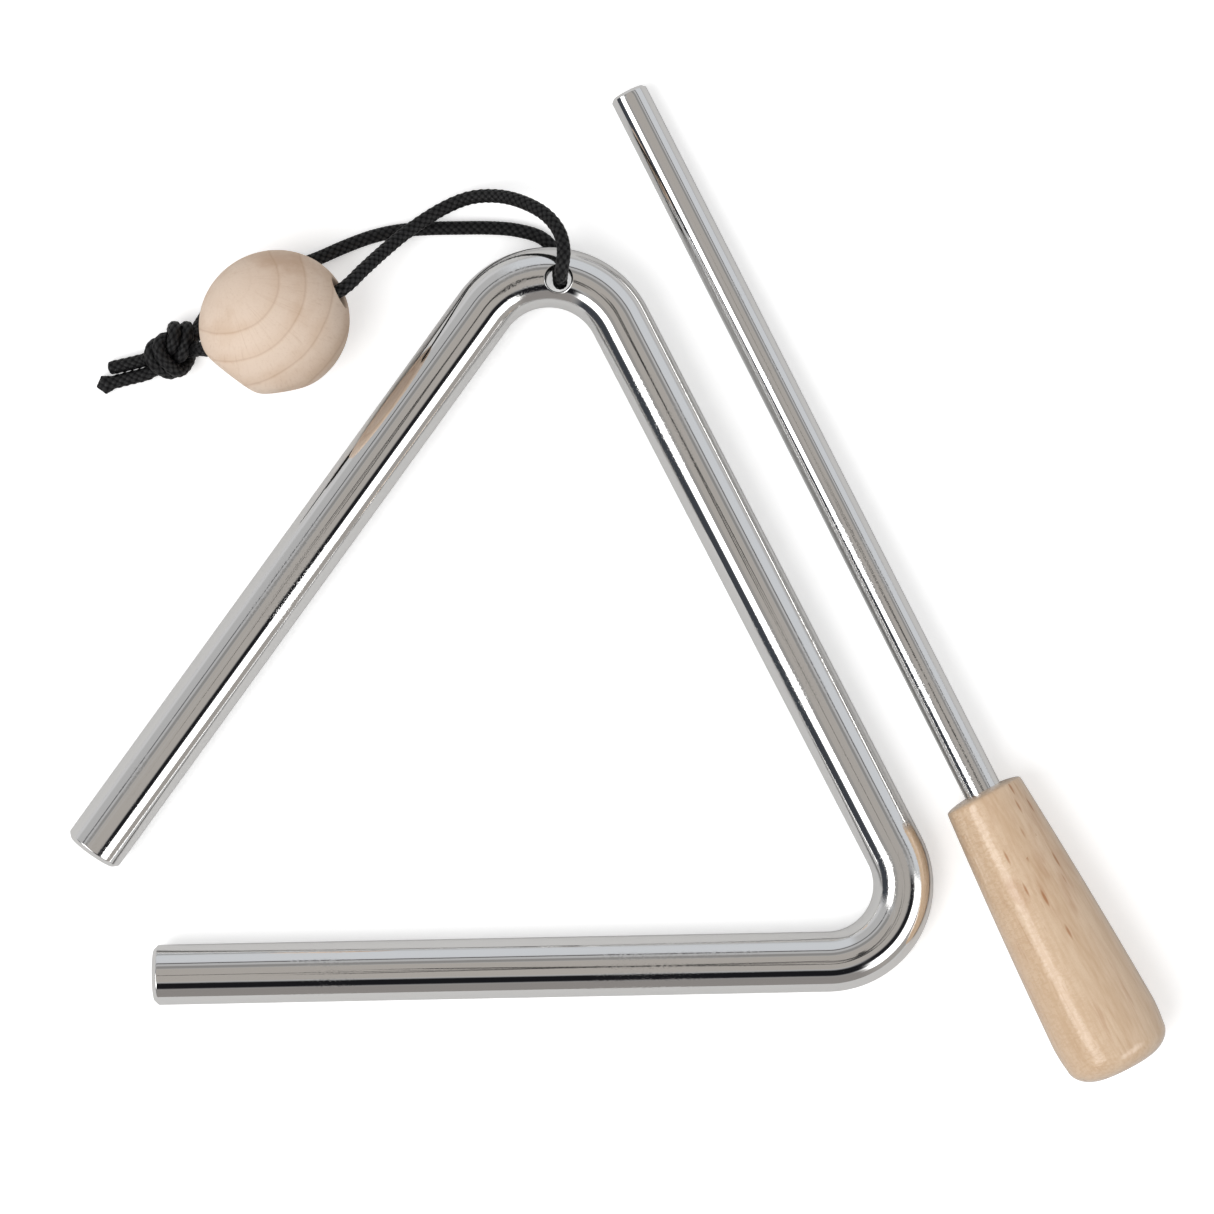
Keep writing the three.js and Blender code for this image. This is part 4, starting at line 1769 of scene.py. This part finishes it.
@dataclass
class Beater:
    """The beater: a chromed rod seated in a turned and varnished wooden handle.

    The handle's stations are counted from its rim: the taper comes first, then the shoulder, the rounded
    corner and the domed butt.
    """

    tip: Place = (1.577, 65.345, 2.561)
    rod_axis: Place = (0.4511, -0.8918, 0.035)
    rod_radius: float = 2.55
    rod_length: float = 129.3
    rod_edge: float = 0.4
    rod_break: float = 0.012
    rod_sharp: float = 25.0
    rod_pits: float = 0.0000065
    rod_roughness: float = 0.035
    rim: Place = (48.884, -28.547, 6.245)
    handle_axis: Place = (0.4627, -0.8858, 0.035)
    handle_sharp: float = 60.0
    seat_gap: float = 0.02
    seat_depth: float = 1.5
    seat_break: float = 0.06
    small: float = 5.45
    wide: float = 7.42
    bulge: float = 0.3
    taper: float = 33.8
    shoulder: float = 3.5
    drop: float = 0.27
    corner: float = 3.1
    butt: float = 3.0
    butt_dome: float = 0.15
    dome: float = 0.9
    sides: int = 144

    def build(self) -> list[bpy.types.Object]:
        """Make the rod and the handle.

        Returns:
            The rod and the handle.
        """
        plating = Chrome(pit_height=self.rod_pits, roughness=self.rod_roughness).material("chrome_rod")
        rod = self._turn("rod", self._rod_profile(), self.rod_axis, self.tip, plating, self.rod_sharp)
        start = tuple(np.array(self.rim) * MM)
        wood = VarnishedWood(start=start, axis=self.handle_axis).material("varnished_wood")
        outline = self._handle_profile()
        handle = self._turn("handle", outline, self.handle_axis, self.rim, wood, self.handle_sharp)
        dressed = ((rod, Slot.CHROME, "beater_rod"), (handle, Slot.VARNISHED_WOOD, "beater_handle"))
        for piece, slot, node in dressed:
            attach(piece, "beater")
            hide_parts(node)
        return [rod, handle]

    def _rod_profile(self) -> np.ndarray:
        """List the rod's outline, with a small chamfer whose edges are a little broken at the tip.

        Returns:
            Rows of radius and station.
        """
        radius, length, edge, broken = self.rod_radius, self.rod_length, self.rod_edge, self.rod_break
        rows = [[POLE_RADIUS, 0.0], [radius - edge - 0.05, 0.0], [radius - edge, broken]]
        rows += [[radius - broken, edge - broken], [radius, edge + 0.06]]
        rows += [[radius, station] for station in np.linspace(1.0, length - 1, 40)]
        rows += [[radius, length - edge], [radius - edge, length]]
        return np.array(rows)

    def _handle_profile(self) -> np.ndarray:
        """List the handle's outline from the rod's seat over the dome, the taper and the butt.

        Returns:
            Rows of radius and station.
        """
        seat = self.rod_radius + self.seat_gap
        radii = seat + (self.small - seat) * np.sin(np.radians(np.linspace(3, 80, 22)))
        rows = [[seat, self.seat_depth], [seat, self._rim_dome(seat) + self.seat_break]]
        rows += [[radius, self._rim_dome(radius)] for radius in radii]
        for s in np.linspace(0.01, 1, 60):
            swell = s + self.bulge * (s - s * s)
            rows.append([self.small + (self.wide - self.small) * swell, self.taper * s])
        for s in np.linspace(0.1, 1, 10):
            rows.append([self.wide - self.drop * s * s, self.taper + self.shoulder * s])
        shoulder, end = self.wide - self.drop, self.taper + self.shoulder
        for angle in np.radians(np.linspace(4, 90, 26)):
            radius = self.butt + (shoulder - self.butt) * math.cos(angle)
            rows.append([radius, end + self.corner * math.sin(angle)])
        for s in np.linspace(0.2, 1, 5):
            radius = max(self.butt * (1 - s), POLE_RADIUS)
            rows.append([radius, end + self.corner + self.butt_dome * s * (2 - s)])
        return np.array(rows)

    def _rim_dome(self, radius: float) -> float:
        """Find the station of the domed rim, a half ellipse, at a radius."""
        return -self.dome * math.sqrt(1 - (radius / self.small) ** 2)

    def _turn(
        self, name: str, profile: np.ndarray, axis: Vector3, place: Vector3, finish: bpy.types.Material,
        sharp: float,
    ) -> bpy.types.Object:
        """Turn a profile about an axis.

        Args:
            name: The piece's name.
            profile: Rows of radius and station.
            axis: The axis's direction.
            place: Where the axis starts.
            finish: The piece's material.
            sharp: Edges bent by more degrees than this stay sharp.

        Returns:
            The piece.
        """
        grid = turned(profile, self.sides) @ rotation_from_axis(axis).T + np.array(place)
        return closed_tube(grid).to_object(name, finish, sharp)


def hole_place(joints: Sequence[dict]) -> np.ndarray:
    """Find the middle of the bar's hole, which the holder turns about.

    Args:
        joints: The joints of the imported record.

    Returns:
        The place, in millimetres.
    """
    swing = next(joint for joint in joints if joint["name"] == "holder_swing")
    return np.array(swing["pos_m"]) / MM


def main() -> None:
    """Build the studio and every piece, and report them."""
    logging.basicConfig(level=logging.INFO, format="%(name)s: %(message)s")
    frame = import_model()
    for builder in (Studio(), CordHolder(hole=hole_place(frame["joints"])), TriangleBar(), Beater()):
        for piece in builder.build():
            log.info("%s: %s, %d vertices", type(builder).__name__, piece.name, len(piece.data.vertices))


if __name__ == "__main__":
    main()
